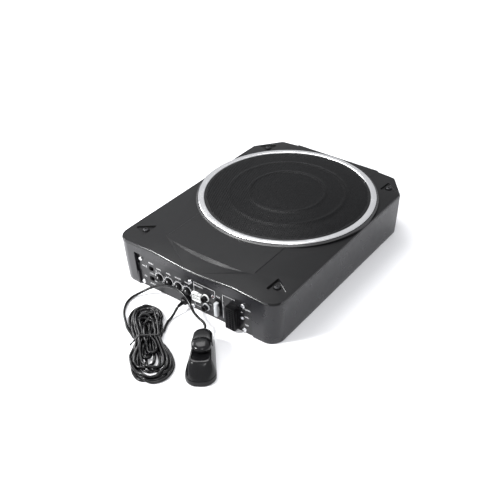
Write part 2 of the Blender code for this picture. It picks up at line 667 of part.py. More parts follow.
def make_panel_screws():
    """Six pan-head screws that share one mesh, heads towards -Y."""
    profile = [(0.0, 0.0), (0.0012, 0.0), (0.0012, 0.0053), (PANEL_SCREW_R, 0.0053), (PANEL_SCREW_R, 0.0064),
               (0.0021, 0.0071), (0.0, 0.0073)]
    shared = None
    for k, (x, z) in enumerate(PANEL_SCREWS):
        name = f"panel_screw_{k + 1}"
        if shared is None:
            screw = turned(name, profile, "steel", 16)
            shared = screw.data
        else:
            screw = add_object(name, shared, None)
        screw.location = (x, PANEL_FRONT_Y - GAP + 0.0053, z)
        screw.rotation_euler.x = math.radians(90)


# Remote


def remote_level(height, near, far, half_width, far_share, corner, steps=6):
    """One level of the remote's loaf shape: broad at its near end, narrowed towards its cord end."""
    far_half = half_width * far_share
    points = arc_points((half_width - corner, near + corner), corner, -90, 0, steps)
    points += arc_points((0.0, far - far_half), far_half, 0, 180, 2 * steps)
    points += arc_points((-half_width + corner, near + corner), corner, 180, 270, steps)
    return [(x, y, height) for x, y in points]


def remote_frame():
    """Empty at the remote's near end, turned so that +Y runs to its cord end."""
    frame = bpy.data.objects.new("remote_frame", None)
    bpy.context.scene.collection.objects.link(frame)
    frame.location = REMOTE_NEAR_END
    frame.rotation_euler.z = REMOTE_YAW
    return frame


def make_remote():
    frame = remote_frame()
    base = lofted("remote_base", [remote_level(0.0, 0.0015, 0.0765, 0.0165, 0.72, 0.014),
                                  remote_level(0.0012, 0.0, REMOTE_LENGTH, 0.0181, 0.72, 0.0155),
                                  remote_level(REMOTE_SEAM_Z - GAP, 0.0014, REMOTE_LENGTH, 0.0179, 0.72, 0.0155)],
                  "gloss_black", 30)
    base_hollow = lofted("remote_base_hollow", [remote_level(0.0025, 0.0050, 0.0740, 0.0148, 0.70, 0.0125),
                                                remote_level(0.0090, 0.0050, 0.0740, 0.0148, 0.70, 0.0125)], None)
    shell = lofted("remote_shell", [remote_level(REMOTE_SEAM_Z, 0.0014, REMOTE_LENGTH, 0.0179, 0.72, 0.0155),
                                    remote_level(0.0130, 0.0042, 0.0773, 0.0166, 0.72, 0.0140),
                                    remote_level(0.0180, 0.0080, 0.0752, 0.0147, 0.74, 0.0115),
                                    remote_level(0.0220, 0.0118, 0.0715, 0.0128, 0.78, 0.0085),
                                    remote_level(0.0242, 0.0150, 0.0680, 0.0115, 0.84, 0.004)],
                    "gloss_black", 30)
    shell_hollow = lofted("remote_shell_hollow", [remote_level(0.0050, 0.0045, 0.0740, 0.0148, 0.70, 0.008),
                                                  remote_level(0.0185, 0.0110, 0.0700, 0.0112, 0.72, 0.006)], None)
    hood = lofted("remote_hood", [remote_level(0.0200, 0.0430, 0.0735, 0.0128, 0.90, 0.004),
                                  remote_level(0.0250, 0.0440, 0.0690, 0.0119, 0.92, 0.004),
                                  remote_level(0.0285, 0.0460, 0.0635, 0.0105, 0.92, 0.004)], None, 30)
    knob_well = rod("remote_knob_well", REMOTE_KNOB_R + 0.0006, (0, REMOTE_KNOB_Y, 0.0245),
                    (0, REMOTE_KNOB_Y, 0.0400), None, 40)
    shaft_hole = rod("remote_shaft_hole", 0.0034, (0, REMOTE_KNOB_Y, 0.010), (0, REMOTE_KNOB_Y, 0.035), None)
    join(shell, hood)
    cut(shell, shell_hollow, knob_well, shaft_hole)
    exit_hole = rod("remote_exit_hole", 0.0026, (0, 0.0700, REMOTE_CORD_Z), (0, 0.0900, REMOTE_CORD_Z), None)
    cut(shell, exit_hole)
    cut(base, base_hollow)
    knob = turned("remote_knob", [(0.0, -0.0045), (0.0030, -0.0045), (0.0030, 0.0), (REMOTE_KNOB_R, 0.0),
                                  (REMOTE_KNOB_R, 0.0032), (0.0104, 0.0052), (0.0076, 0.0064), (0.0, 0.0070)],
                  "gloss_black", 40, (0.0, REMOTE_KNOB_Y, 0.0248))
    pot = box("remote_potentiometer", (-0.0050, REMOTE_KNOB_Y - 0.0050, 0.0125),
              (0.0050, REMOTE_KNOB_Y + 0.0050, 0.0178), "aluminium")
    relief = turned("remote_strain_relief", [(0.0, 0.0), (0.0024, 0.0), (0.0024, 0.0055), (0.0029, 0.0058),
                                             (0.0029, 0.0070), (0.0018, 0.0112), (0.0, 0.0112)],
                    "rubber_black", SMALL_SEGMENTS, (0.0, 0.0728, REMOTE_CORD_Z))
    relief.rotation_euler.x = math.radians(-90)
    for piece in (base, base_hollow, shell, shell_hollow, hood, knob_well, shaft_hole, exit_hole, knob, pot, relief):
        piece.parent = frame


# Cord


def smooth_route(route, spacing):
    """Even points along a Catmull-Rom curve through the route's own points."""
    path = [Vector(point) for point in route]
    ends = [path[0] * 2 - path[1]] + path + [path[-1] * 2 - path[-2]]
    dense = []
    for i in range(1, len(ends) - 2):
        a, b, c, d = ends[i - 1:i + 3]
        for step in range(24):
            t = step / 24
            dense.append(0.5 * (2 * b + (c - a) * t + (2 * a - 5 * b + 4 * c - d) * t ** 2
                                + (3 * b - a - 3 * c + d) * t ** 3))
    dense.append(path[-1])
    total = sum((q - p).length for p, q in zip(dense, dense[1:]))
    count = max(4, round(total / spacing))
    even, walked, target = [dense[0]], 0.0, total / count
    for p, q in zip(dense, dense[1:]):
        step = (q - p).length
        while len(even) < count and walked + step >= target * len(even):
            even.append(p.lerp(q, (target * len(even) - walked) / step))
        walked += step
    return even + [dense[-1]]


def cord_tube(name, route):
    curve = bpy.data.curves.new(name, "CURVE")
    curve.dimensions = "3D"
    curve.bevel_depth = CORD_D / 2
    curve.bevel_resolution = 2
    curve.use_fill_caps = True
    points = smooth_route(route, ROUTE_SPACING)
    spline = curve.splines.new("POLY")
    spline.points.add(len(points) - 1)
    for slot, place in zip(spline.points, points):
        slot.co = (*place, 1.0)
    return add_object(name, curve, "cord_black")


def blend(a, b, share):
    share = min(1.0, max(0.0, share))
    return a + (b - a) * share * share * (3 - 2 * share)


def hank_section(along):
    """Middle and half width of the hank at one place along it."""
    top, top_mid, top_r = UPPER_LOBE
    waist, waist_mid, waist_half = WAIST
    low, low_mid, low_r = LOWER_LOBE
    if along < top:
        return top_mid, math.sqrt(max(0.0, top_r ** 2 - (along - top) ** 2))
    if along < waist:
        share = (along - top) / (waist - top)
        return blend(top_mid, waist_mid, share), blend(top_r, waist_half, share)
    if along < low:
        share = (along - waist) / (low - waist)
        return blend(waist_mid, low_mid, share), blend(waist_half, low_r, share)
    return low_mid, math.sqrt(max(0.0, low_r ** 2 - (along - low) ** 2))


def hank_outline():
    start, end = UPPER_LOBE[0] - UPPER_LOBE[2], LOWER_LOBE[0] + LOWER_LOBE[2]
    stations = [start + UPPER_LOBE[2] * (1 - math.cos(math.pi / 2 * i / 5)) for i in range(5)]
    stations += [UPPER_LOBE[0] + (LOWER_LOBE[0] - UPPER_LOBE[0]) * i / 12 for i in range(13)]
    stations += [LOWER_LOBE[0] + LOWER_LOBE[2] * math.sin(math.pi / 2 * i / 5) for i in range(1, 6)]
    stations[-1] = end
    sides = [(along, *hank_section(along)) for along in stations]
    left = [(mid - half, -along) for along, mid, half in sides]
    right = [(mid + half, -along) for along, mid, half in sides]
    return left + right[-2:0:-1]


def make_hank():
    """The folded cord as one plain solid, with the tie round its waist."""
    frame = bpy.data.objects.new("hank_frame", None)
    bpy.context.scene.collection.objects.link(frame)
    frame.location = (*HANK_TOP, 0.0)
    frame.rotation_euler.z = HANK_YAW + math.radians(90)
    outline = hank_outline()
    hank = lofted("cord_hank", [[(x, y, z) for x, y in outline] for z in (HANK_LIFT, HANK_LIFT + HANK_HEIGHT)],
                  "cord_black")
    mid, half = hank_section(WAIST[0])
    top = HANK_LIFT + HANK_HEIGHT
    tie = box("hank_tie", (mid - half - 0.0014, -WAIST[0] - TIE_WIDTH / 2, 0.0),
              (mid + half + 0.0014, -WAIST[0] + TIE_WIDTH / 2, top + 0.0009), "black_plastic")
    inside = box("tie_inside", (mid - half - 0.0007, -WAIST[0] - TIE_WIDTH, HANK_LIFT - GAP),
                 (mid + half + 0.0007, -WAIST[0] + TIE_WIDTH, top + GAP), None)
    cut(tie, inside)
    for piece in (hank, tie, inside):
        piece.parent = frame


def plug_section(y, half_width, half_height, power, x, z, count=16):
    """A rounded rectangle for a high power, towards an ellipse for a power of 2."""
    points = []
    for i in range(count):
        angle = 2 * math.pi * (i + 0.5) / count
        c, s = math.cos(angle), math.sin(angle)
        points.append((x + half_width * math.copysign(abs(c) ** (2 / power), c), y,
                       z + half_height * math.copysign(abs(s) ** (2 / power), s)))
    return points


def make_plug():
    """The remote cord's plug: a nose inside the jack, a body, and a tapered relief."""
    x, z = REMOTE_JACK
    sections = [(-0.1580, 0.0033, 0.0030, 8, 0.0), (-0.1644, 0.0033, 0.0030, 8, 0.0),
                (-0.1645, 0.0046, 0.0040, 6, 0.0), (-0.1715, 0.0044, 0.0038, 6, 0.0),
                (-0.1730, 0.0026, 0.0026, 2, 0.0), (-0.1812, 0.0018, 0.0018, 2, -0.0006)]
    lofted("cord_plug", [plug_section(y, w, h, power, x, z + drop) for y, w, h, power, drop in sections],
           "black_plastic", 30)


def main():
    clear_scene()
    make_tray()
    make_cover()
    make_cover_screws()
    make_trim_and_grille()
    make_woofer()
    make_amplifier()
    make_panel()
    make_knobs()
    make_switches()
    make_sockets()
    make_fuse()
    make_leds()
    make_panel_screws()
    make_remote()
    make_plug()
    cord_tube("cord_lead", LEAD_ROUTE)
    cord_tube("cord_arc", ARC_ROUTE)
    make_hank()


main()
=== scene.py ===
"""Studio view of the powered subwoofer: camera, cord, detailed pieces, materials, floor and lights."""

import math

import bmesh
import bpy
import numpy as np
from mathutils import Matrix, Vector
from mathutils.geometry import delaunay_2d_cdt


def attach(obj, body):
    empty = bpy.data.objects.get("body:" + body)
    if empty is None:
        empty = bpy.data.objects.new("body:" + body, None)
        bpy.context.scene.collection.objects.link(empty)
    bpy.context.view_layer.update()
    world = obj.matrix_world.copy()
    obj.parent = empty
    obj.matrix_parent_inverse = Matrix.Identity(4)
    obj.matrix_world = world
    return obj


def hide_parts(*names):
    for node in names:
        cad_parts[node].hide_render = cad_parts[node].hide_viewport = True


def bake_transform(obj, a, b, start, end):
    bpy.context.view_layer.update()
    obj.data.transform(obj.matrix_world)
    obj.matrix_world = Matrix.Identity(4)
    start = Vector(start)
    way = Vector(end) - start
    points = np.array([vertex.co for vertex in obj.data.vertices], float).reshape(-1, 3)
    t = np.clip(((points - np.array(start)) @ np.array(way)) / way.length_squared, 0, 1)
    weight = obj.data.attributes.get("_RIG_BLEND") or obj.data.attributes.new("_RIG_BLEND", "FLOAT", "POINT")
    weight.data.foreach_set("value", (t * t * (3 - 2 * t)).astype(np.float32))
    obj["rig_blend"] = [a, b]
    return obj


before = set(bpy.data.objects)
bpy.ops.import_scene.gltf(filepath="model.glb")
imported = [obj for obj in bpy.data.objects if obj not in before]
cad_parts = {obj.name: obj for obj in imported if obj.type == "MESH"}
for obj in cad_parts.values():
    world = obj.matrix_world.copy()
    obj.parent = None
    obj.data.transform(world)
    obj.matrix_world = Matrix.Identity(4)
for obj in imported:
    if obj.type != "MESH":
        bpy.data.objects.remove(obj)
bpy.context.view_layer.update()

MM = 0.001
WOOFER = Vector((0.0, 36.6, 0.0)) * MM


# ---------------------------------------------------------------- camera


def make_camera():
    azimuth, elevation = math.radians(34.936), math.radians(35.579)
    data = bpy.data.cameras.new("camera")
    data.sensor_width = 36.0
    data.lens = 55.32
    data.shift_x = -0.0624
    data.shift_y = -0.0085
    data.clip_start, data.clip_end = 0.05, 20.0
    made = bpy.data.objects.new("camera", data)
    made.location = (0.5079, -0.7052, 0.6234)
    made.rotation_euler = (math.pi / 2 - elevation, 0.0, azimuth)
    bpy.context.scene.collection.objects.link(made)
    bpy.context.scene.camera = made


make_camera()


# ---------------------------------------------------------------- materials


class Shader:
    """A small helper round one node material."""

    def __init__(self, name, base, rough, metal=0.0, spec=0.5, coat=0.0):
        self.material = bpy.data.materials.new(name)
        self.material.use_nodes = True
        self.tree = self.material.node_tree
        self.bsdf = self.tree.nodes["Principled BSDF"]
        self.bsdf.inputs["Base Color"].default_value = (*base, 1.0)
        self.bsdf.inputs["Roughness"].default_value = rough
        self.bsdf.inputs["Metallic"].default_value = metal
        self.bsdf.inputs["Specular IOR Level"].default_value = spec
        self.bsdf.inputs["Coat Weight"].default_value = coat
        self.bsdf.inputs["Coat Roughness"].default_value = 0.08
        self.base = base
        self.coords = self.tree.nodes.new("ShaderNodeTexCoord").outputs["Object"]

    def node(self, kind, **values):
        made = self.tree.nodes.new(kind)
        for key, value in values.items():
            if key in made.inputs:
                made.inputs[key].default_value = value
            else:
                setattr(made, key, value)
        return made

    def link(self, out, into):
        self.tree.links.new(out, into)

    def noise(self, scale, detail=3.0, rough=0.5, stretch=None):
        made = self.node("ShaderNodeTexNoise", Scale=scale, Detail=detail, Roughness=rough)
        if stretch:
            mapping = self.node("ShaderNodeMapping")
            mapping.inputs["Scale"].default_value = stretch
            self.link(self.coords, mapping.inputs["Vector"])
            self.link(mapping.outputs["Vector"], made.inputs["Vector"])
        else:
            self.link(self.coords, made.inputs["Vector"])
        return made.outputs["Fac"]

    def remap(self, value, low, high):
        made = self.node("ShaderNodeMapRange")
        made.inputs["To Min"].default_value = low
        made.inputs["To Max"].default_value = high
        made.inputs["From Min"].default_value = 0.3
        made.inputs["From Max"].default_value = 0.7
        self.link(value, made.inputs["Value"])
        return made.outputs["Result"]

    def rough_noise(self, scale, low, high, stretch=None):
        self.link(self.remap(self.noise(scale, stretch=stretch), low, high), self.bsdf.inputs["Roughness"])
        return self

    def tone_noise(self, scale, share):
        """Vary the base colour a little, both ways."""
        mix = self.node("ShaderNodeMix", data_type="RGBA")
        mix.inputs["A"].default_value = (*[c * (1 - share) for c in self.base], 1.0)
        mix.inputs["B"].default_value = (*[min(1.0, c * (1 + share)) for c in self.base], 1.0)
        self.link(self.noise(scale), mix.inputs["Factor"])
        self.link(mix.outputs["Result"], self.bsdf.inputs["Base Color"])
        return self

    def bump(self, scale, height, strength=0.3, stretch=None, detail=3.0):
        made = self.node("ShaderNodeBump", Strength=strength, Distance=height)
        self.link(self.noise(scale, detail=detail, stretch=stretch), made.inputs["Height"])
        self.link(made.outputs["Normal"], self.bsdf.inputs["Normal"])
        return self


M = {}


def shader(name, *values, **named):
    made = Shader(name, *values, **named)
    M[name] = made.material
    return made


# housing and housing_wall are shaded and lit copies of one cast shell finish: the darker, duller copy is painted shade
# on the cover top, the lighter, glossier copy is painted sheen on the tray walls.
shader("housing", (0.0070, 0.0070, 0.0075), 0.40, spec=0.11).rough_noise(60, 0.36, 0.44).bump(900, 0.00005, 0.2)
# A glossier, slightly lighter copy of the housing, put on the cover rim, the boss edge and the recess walls facing the
# left: painted highlight lines.
shader("housing_painted_highlight", (0.010, 0.010, 0.011), 0.24, spec=0.7).rough_noise(60, 0.20, 0.28)
shader("housing_wall", (0.010, 0.010, 0.012), 0.26,
       spec=0.32).rough_noise(60, 0.26, 0.34).bump(900, 0.00005, 0.15)
shader("panel", (0.008, 0.008, 0.009), 0.30, spec=0.34).rough_noise(90, 0.26, 0.34).bump(1400, 0.00004, 0.15)
shader("silver", (0.62, 0.62, 0.63), 0.24, metal=1.0).rough_noise(70, 0.20, 0.28).bump(1500, 0.00002, 0.1)
shader("grille", (0.0040, 0.0040, 0.0045), 0.34, spec=0.14).rough_noise(120, 0.30, 0.42)
shader("plastic", (0.004, 0.004, 0.0045), 0.38, spec=0.16).rough_noise(150, 0.32, 0.44).bump(1800, 0.00004, 0.2)
shader("gloss", (0.0045, 0.0045, 0.005), 0.18, spec=0.22).rough_noise(50, 0.14, 0.22)
# A lighter, glossier copy of gloss meant as painted sheen on one side of the remote; no piece uses it.
shader("gloss_painted_sheen_side", (0.0060, 0.0060, 0.0065), 0.14, spec=0.45).rough_noise(50, 0.10, 0.18)
shader("rubber", (0.030, 0.030, 0.032), 0.45, spec=0.6).rough_noise(120, 0.48, 0.62).bump(1500, 0.00005, 0.3)
shader("cone", (0.012, 0.012, 0.013), 0.62, spec=0.25).rough_noise(200, 0.55, 0.7).bump(700, 0.00012, 0.4)
shader("cap", (0.030, 0.030, 0.032), 0.40, spec=0.6).rough_noise(200, 0.38, 0.52)
shader("steel", (0.72, 0.72, 0.74), 0.28, metal=1.0).rough_noise(300, 0.22, 0.34)
shader("gold", (0.72, 0.66, 0.52), 0.28, metal=1.0).rough_noise(300, 0.22, 0.34)
shader("dark_steel", (0.035, 0.035, 0.037), 0.35, metal=1.0).rough_noise(300, 0.3, 0.42)
shader("ferrite", (0.06, 0.06, 0.065), 0.6).rough_noise(200, 0.5, 0.7)
shader("copper", (0.55, 0.22, 0.09), 0.35, metal=1.0).rough_noise(200, 0.3, 0.4)
shader("cloth", (0.40, 0.30, 0.14), 0.85).bump(1500, 0.0001, 0.5)
shader("board", (0.015, 0.10, 0.045), 0.45).tone_noise(120, 0.3)
shader("aluminium", (0.55, 0.55, 0.57), 0.4, metal=1.0).rough_noise(200, 0.34, 0.46)
shader("white", (0.66, 0.67, 0.66), 0.4).rough_noise(200, 0.35, 0.45).tone_noise(180, 0.05)
shader("clear", (0.40, 0.41, 0.42), 0.18, spec=0.6).rough_noise(100, 0.14, 0.22).tone_noise(700, 0.35)
shader("print", (0.62, 0.62, 0.63), 0.5, spec=0.3).tone_noise(1500, 0.15)
shader("cord", (0.0026, 0.0026, 0.0030), 0.20, spec=0.27).rough_noise(90, 0.20, 0.25)
# Near-black: the plain black of the phono jack cores, and painted shade on the cover recess walls that do not face the
# left, in a ring under each cover screw and on a sheet behind the panel.
shader("black_and_painted_shade", (0.002, 0.002, 0.002), 0.7, spec=0.1).tone_noise(200, 0.2)
shader("lens_dark", (0.05, 0.015, 0.015), 0.12, spec=0.6).tone_noise(400, 0.1)
shader("lens_pale", (0.78, 0.80, 0.84), 0.15, spec=0.6).tone_noise(400, 0.1)
shader("tie", (0.004, 0.004, 0.0045), 0.35, spec=0.25).rough_noise(200, 0.3, 0.4)


# ---------------------------------------------------------------- mesh helpers


def finish_piece(name, data, material, body="enclosure", replaces=(), slot=None, smooth=None):
    made = bpy.data.objects.new(name, data)
    bpy.context.scene.collection.objects.link(made)
    if material:
        data.materials.clear()
        data.materials.append(M[material])
    if smooth is not None and hasattr(data, "shade_smooth"):
        data.shade_smooth()
        data.set_sharp_from_angle(angle=math.radians(smooth))
    if body:
        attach(made, body)
    if replaces:
        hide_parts(*replaces)
    return made


def data_from(build, name):
    bmesh.ops.recalc_face_normals(build, faces=build.faces)
    data = bpy.data.meshes.new(name)
    build.to_mesh(data)
    build.free()
    return data


def skin(build, rings):
    """Join each ring of vertices to the next with a band of quads."""
    for a, b in zip(rings, rings[1:]):
        for i in range(len(a)):
            build.faces.new((a[i - 1], a[i], b[i], b[i - 1]))


def to_metres(build):
    bmesh.ops.scale(build, vec=(MM, MM, MM), verts=build.verts)


def drop_object(holder):
    """Remove an object and keep its mesh."""
    data = holder.data
    bpy.data.objects.remove(holder)
    return data


def tube_curve(name, points, radius, resolution):
    """A round tube along points in metres."""
    data = bpy.data.curves.new(name, "CURVE")
    data.dimensions = "3D"
    data.bevel_depth = radius * MM
    data.bevel_resolution = resolution
    data.use_fill_caps = True
    spline = data.splines.new("POLY")
    spline.points.add(len(points) - 1)
    spline.points.foreach_set("co", np.concatenate([points, np.ones((len(points), 1))], axis=1).ravel())
    spline.use_smooth = True
    return data


def blocks_at(x, z, rows):
    """Box corners from (x0, x1, y0, y1, z0, z1) rows, with x and z measured from a centre."""
    return [((x + x0, y0, z + z0), (x + x1, y1, z + z1)) for x0, x1, y0, y1, z0, z1 in rows]


def lathe_data(name, profile, segments=96, centre=(0, 0, 0), turn=None, closed=True):
    """Spin (radius, height) points in millimetres about +Z, then turn and place the result."""
    build = bmesh.new()
    rings = []
    for radius, height in profile:
        if radius < 1e-6:
            rings.append([build.verts.new((0, 0, height * MM))])
            continue
        rings.append([build.verts.new((radius * MM * math.cos(2 * math.pi * k / segments),
                                       radius * MM * math.sin(2 * math.pi * k / segments), height * MM))
                      for k in range(segments)])
    pairs = list(zip(rings, rings[1:]))
    if closed and len(rings[0]) > 1 and len(rings[-1]) > 1:
        pairs.append((rings[-1], rings[0]))
    for a, b in pairs:
        for k in range(segments):
            n = (k + 1) % segments
            loop = [a[k % len(a)], a[n % len(a)], b[n % len(b)], b[k % len(b)]]
            loop = [v for i, v in enumerate(loop) if v not in loop[:i]]
            if len(loop) > 2:
                build.faces.new(loop)
    if turn is not None:
        bmesh.ops.transform(build, matrix=turn, verts=build.verts)
    bmesh.ops.translate(build, vec=Vector(centre), verts=build.verts)
    return data_from(build, name)


def lathe(name, profile, material, segments=96, centre=(0, 0, 0), turn=None, smooth=35, closed=True, **named):
    return finish_piece(name, lathe_data(name, profile, segments, centre, turn, closed), material,
                        smooth=smooth, **named)


FACE_FRONT = Matrix.Rotation(math.radians(90), 4, "X")


def rounded_box(build, low, high, bevel, segments=2):
    """Add a bevelled block, in millimetres, to a bmesh."""
    made = bmesh.ops.create_cube(build, size=1.0)["verts"]
    size = Vector(b - a for a, b in zip(low, high)) * MM
    middle = Vector((a + b) / 2 for a, b in zip(low, high)) * MM
    bmesh.ops.scale(build, vec=size, verts=made)
    bmesh.ops.translate(build, vec=middle, verts=made)
    if bevel:
        edges = list({edge for v in made for edge in v.link_edges})
        bmesh.ops.bevel(build, geom=edges, offset=bevel * MM, segments=segments, affect="EDGES", profile=0.5)


def boxes(name, blocks, material, bevel=0.3, **named):
    build = bmesh.new()
    for low, high in blocks:
        rounded_box(build, low, high, bevel)
    return finish_piece(name, data_from(build, name), material, smooth=40, **named)


# ---------------------------------------------------------------- cord

CORD_D = 3.5
CORD_Z = 1.9
LAPS = 12
ARC = [(40.8, -195.1, 10.1), (37.8, -190.8, 10.8), (32.5, -187.4, 11.8), (24.0, -185.6, 12.8),
       (14.0, -182.2, 13.8), (5.0, -177.4, 15.5), (-3.0, -173.5, 19.0), (-11.0, -171.2, 22.5),
       (-21.5, -169.2, 24.5), (-34.0, -168.8, 23.8), (-47.0, -169.2, 20.0), (-59.0, -171.5, 15.0),
       (-69.0, -176.5, 9.2), (-76.5, -184.5, 4.2), (-80.6, -194.5, CORD_Z), (-77.4, -207.5, CORD_Z),
       (-67.3, -221.8, CORD_Z), (-52.3, -233.6, CORD_Z), (-33.0, -246.5, CORD_Z), (-16.2, -258.3, CORD_Z)]
LEAD = [(-9.9, -213.0, CORD_Z), (-10.8, -209.0, CORD_Z), (-12.0, -202.0, CORD_Z), (-12.8, -194.0, 3.2),
        (-13.3, -187.0, 6.8), (-13.5, -182.4, 9.8)]
HANK_TOP = np.array([-56.0, -190.0])
HANK_YAW = math.radians(42.9)
HANK_ALONG = np.array([math.sin(HANK_YAW), -math.cos(HANK_YAW)])
HANK_ACROSS = np.array([math.cos(HANK_YAW), math.sin(HANK_YAW)])
UPPER, WAIST, LOWER = 18.0, 71.0, 119.0
MIDDLE = {UPPER: -3.0, WAIST: -0.3, LOWER: 5.0}


def ease(share):
    share = min(1.0, max(0.0, share))
    return share * share * (3 - 2 * share)


def along_blend(along, upper, waist, lower):
    if along < WAIST:
        return upper + (waist - upper) * ease((along - UPPER) / (WAIST - UPPER))
    return waist + (lower - waist) * ease((along - WAIST) / (LOWER - WAIST))


def catmull(points, spacing):
    path = [np.array(p, float) for p in points]
    ends = [2 * path[0] - path[1]] + path + [2 * path[-1] - path[-2]]
    dense = []
    for i in range(1, len(ends) - 2):
        a, b, c, d = ends[i - 1:i + 3]
        for step in range(24):
            t = step / 24
            dense.append(0.5 * (2 * b + (c - a) * t + (2 * a - 5 * b + 4 * c - d) * t ** 2
                                + (3 * b - a - 3 * c + d) * t ** 3))
    dense.append(path[-1])
    return resample(np.array(dense), spacing)


def resample(path, spacing):
    steps = np.linalg.norm(np.diff(path, axis=0), axis=1)
    walked = np.concatenate([[0.0], np.cumsum(steps)])
    count = max(2, round(walked[-1] / spacing))
    wanted = np.linspace(0, walked[-1], count + 1)
    return np.stack([np.interp(wanted, walked, path[:, k]) for k in range(3)], axis=1)


# One row for each lap: column at the waist, level, radius and sideways shift of the upper end,
# how far its tip is drawn back, and the same three for the lower end.
LAP_TABLE = [
    (2, 3, 17.8, -0.6, 0.0, 23.0, -0.5, 0.0),
    (1, 3, 13.0, -3.4, 2.2, 17.6, 3.4, 4.0),
    (0, 3, 10.8, 5.2, 4.0, 11.4, 5.2, 10.0),
    (0, 2, 10.8, -5.6, 5.0, 11.4, -7.4, 5.0),
    (1, 2, 14.6, 2.8, 0.6, 17.2, -10.0, 7.0),
    (2, 2, 18.6, 0.2, 0.0, 22.2, 2.2, 0.0),
    (2, 1, 18.2, -1.0, 1.0, 24.0, 0.0, -0.4),
    (1, 1, 14.0, 3.8, 0.0, 17.8, 6.0, 2.0),
    (0, 1, 10.8, 6.4, 6.0, 11.4, 7.6, 13.0),
    (0, 0, 10.8, -6.4, 3.0, 11.4, -6.2, 8.0),
    (1, 0, 15.0, -3.0, 0.5, 17.4, -3.8, 4.0),
    (2, 0, 19.2, 0.0, 0.0, 24.4, 0.0, 0.0),
]


def lap_values(turn):
    """The lap table read between rows: a lap passes to the next over the upper end."""
    row = min(LAPS - 1, max(0, int(math.floor(turn))))
    after = min(LAPS - 1, row + 1)
    share = ease((turn - row - 0.60) / 0.40)
    return [a + (b - a) * share for a, b in zip(LAP_TABLE[row], LAP_TABLE[after])]


def lap_point(turn, phase):
    """Phase runs 0 to 4: down the left side, round the lower end, up the right side, round the upper end."""
    column, level, up_r, up_shift, up_back, low_r, low_shift, low_back = lap_values(turn)
    waist_half = 2.2 + 3.8 * column + (1.5 if round(level) % 2 else 0.0)
    height = CORD_Z + 2.8 * level
    upper_at, lower_at = UPPER + up_back, LOWER - low_back
    leg = int(phase)
    share = phase - leg
    if leg in (0, 2):
        along = upper_at + (lower_at - upper_at) * (share if leg == 0 else 1 - share)
        half = along_blend(along, up_r, waist_half, low_r)
        middle = along_blend(along, MIDDLE[UPPER] + up_shift, MIDDLE[WAIST], MIDDLE[LOWER] + low_shift)
        across = middle - half if leg == 0 else middle + half
    elif leg == 1:
        angle = math.pi * share
        along = lower_at + low_r * math.sin(angle)
        across = MIDDLE[LOWER] + low_shift - low_r * math.cos(angle)
    else:
        angle = math.pi * share
        along = upper_at - up_r * math.sin(angle)
        across = MIDDLE[UPPER] + up_shift + up_r * math.cos(angle)
    place = HANK_TOP + HANK_ALONG * along + HANK_ACROSS * across
    return (place[0], place[1], height)


def hank_path():
    points = []
    steps = {0: 26, 1: 22, 2: 26, 3: 22}
    for lap in range(LAPS):
        for leg in range(4):
            if lap == 0 and leg == 0:
                shares = [k / steps[leg] for k in range(24, steps[leg])]
            elif lap == LAPS - 1 and leg == 2:
                shares = [k / steps[leg] for k in range(17)]
            elif lap == LAPS - 1 and leg == 3:
                shares = []
            else:
                shares = [k / steps[leg] for k in range(steps[leg])]
            for share in shares:
                phase = leg + share
                points.append(lap_point(lap + phase / 4, phase))
    return points


def close_pairs(path, reach, apart):
    """Index pairs of points that are within reach of each other but not neighbours along the cord."""
    found = []
    for start in range(0, len(path), 400):
        block = path[start:start + 400]
        gap = np.linalg.norm(block[:, None, :] - path[None, :, :], axis=2)
        i, j = np.nonzero(gap < reach)
        i = i + start
        keep = j - i > apart
        found.append(np.stack([i[keep], j[keep]], axis=1))
    return np.concatenate(found)


def ease_bends(path, spacing, radius, factor):
    """Draw every bend tighter than the radius outwards, measured over short and longer stretches."""
    for reach in (1, 2, 3, 4):
        middle = 0.5 * (path[:-2 * reach] + path[2 * reach:])
        bend = middle - path[reach:-reach]
        size = np.linalg.norm(bend, axis=1, keepdims=True)
        limit = (reach * spacing) ** 2 / (2 * radius)
        path[reach:-reach] += factor * bend * np.clip((size - limit) / np.maximum(size, 1e-9), 0, 1)


SETTLE_GAP, SETTLE_PUSH = 1.05 * CORD_D, 0.3
SETTLE_FALL, SETTLE_CALM = 0.04, 0.22
PAIR_REACH, PAIR_APART = 2.2 * CORD_D, 6
BEND_RADIUS, BEND_SHARE = 2.4 * CORD_D, 0.35
TIE_RUN, TIE_HALF, TIE_TOP, TIE_PULL = 9, 12.2, 11.4, 0.3


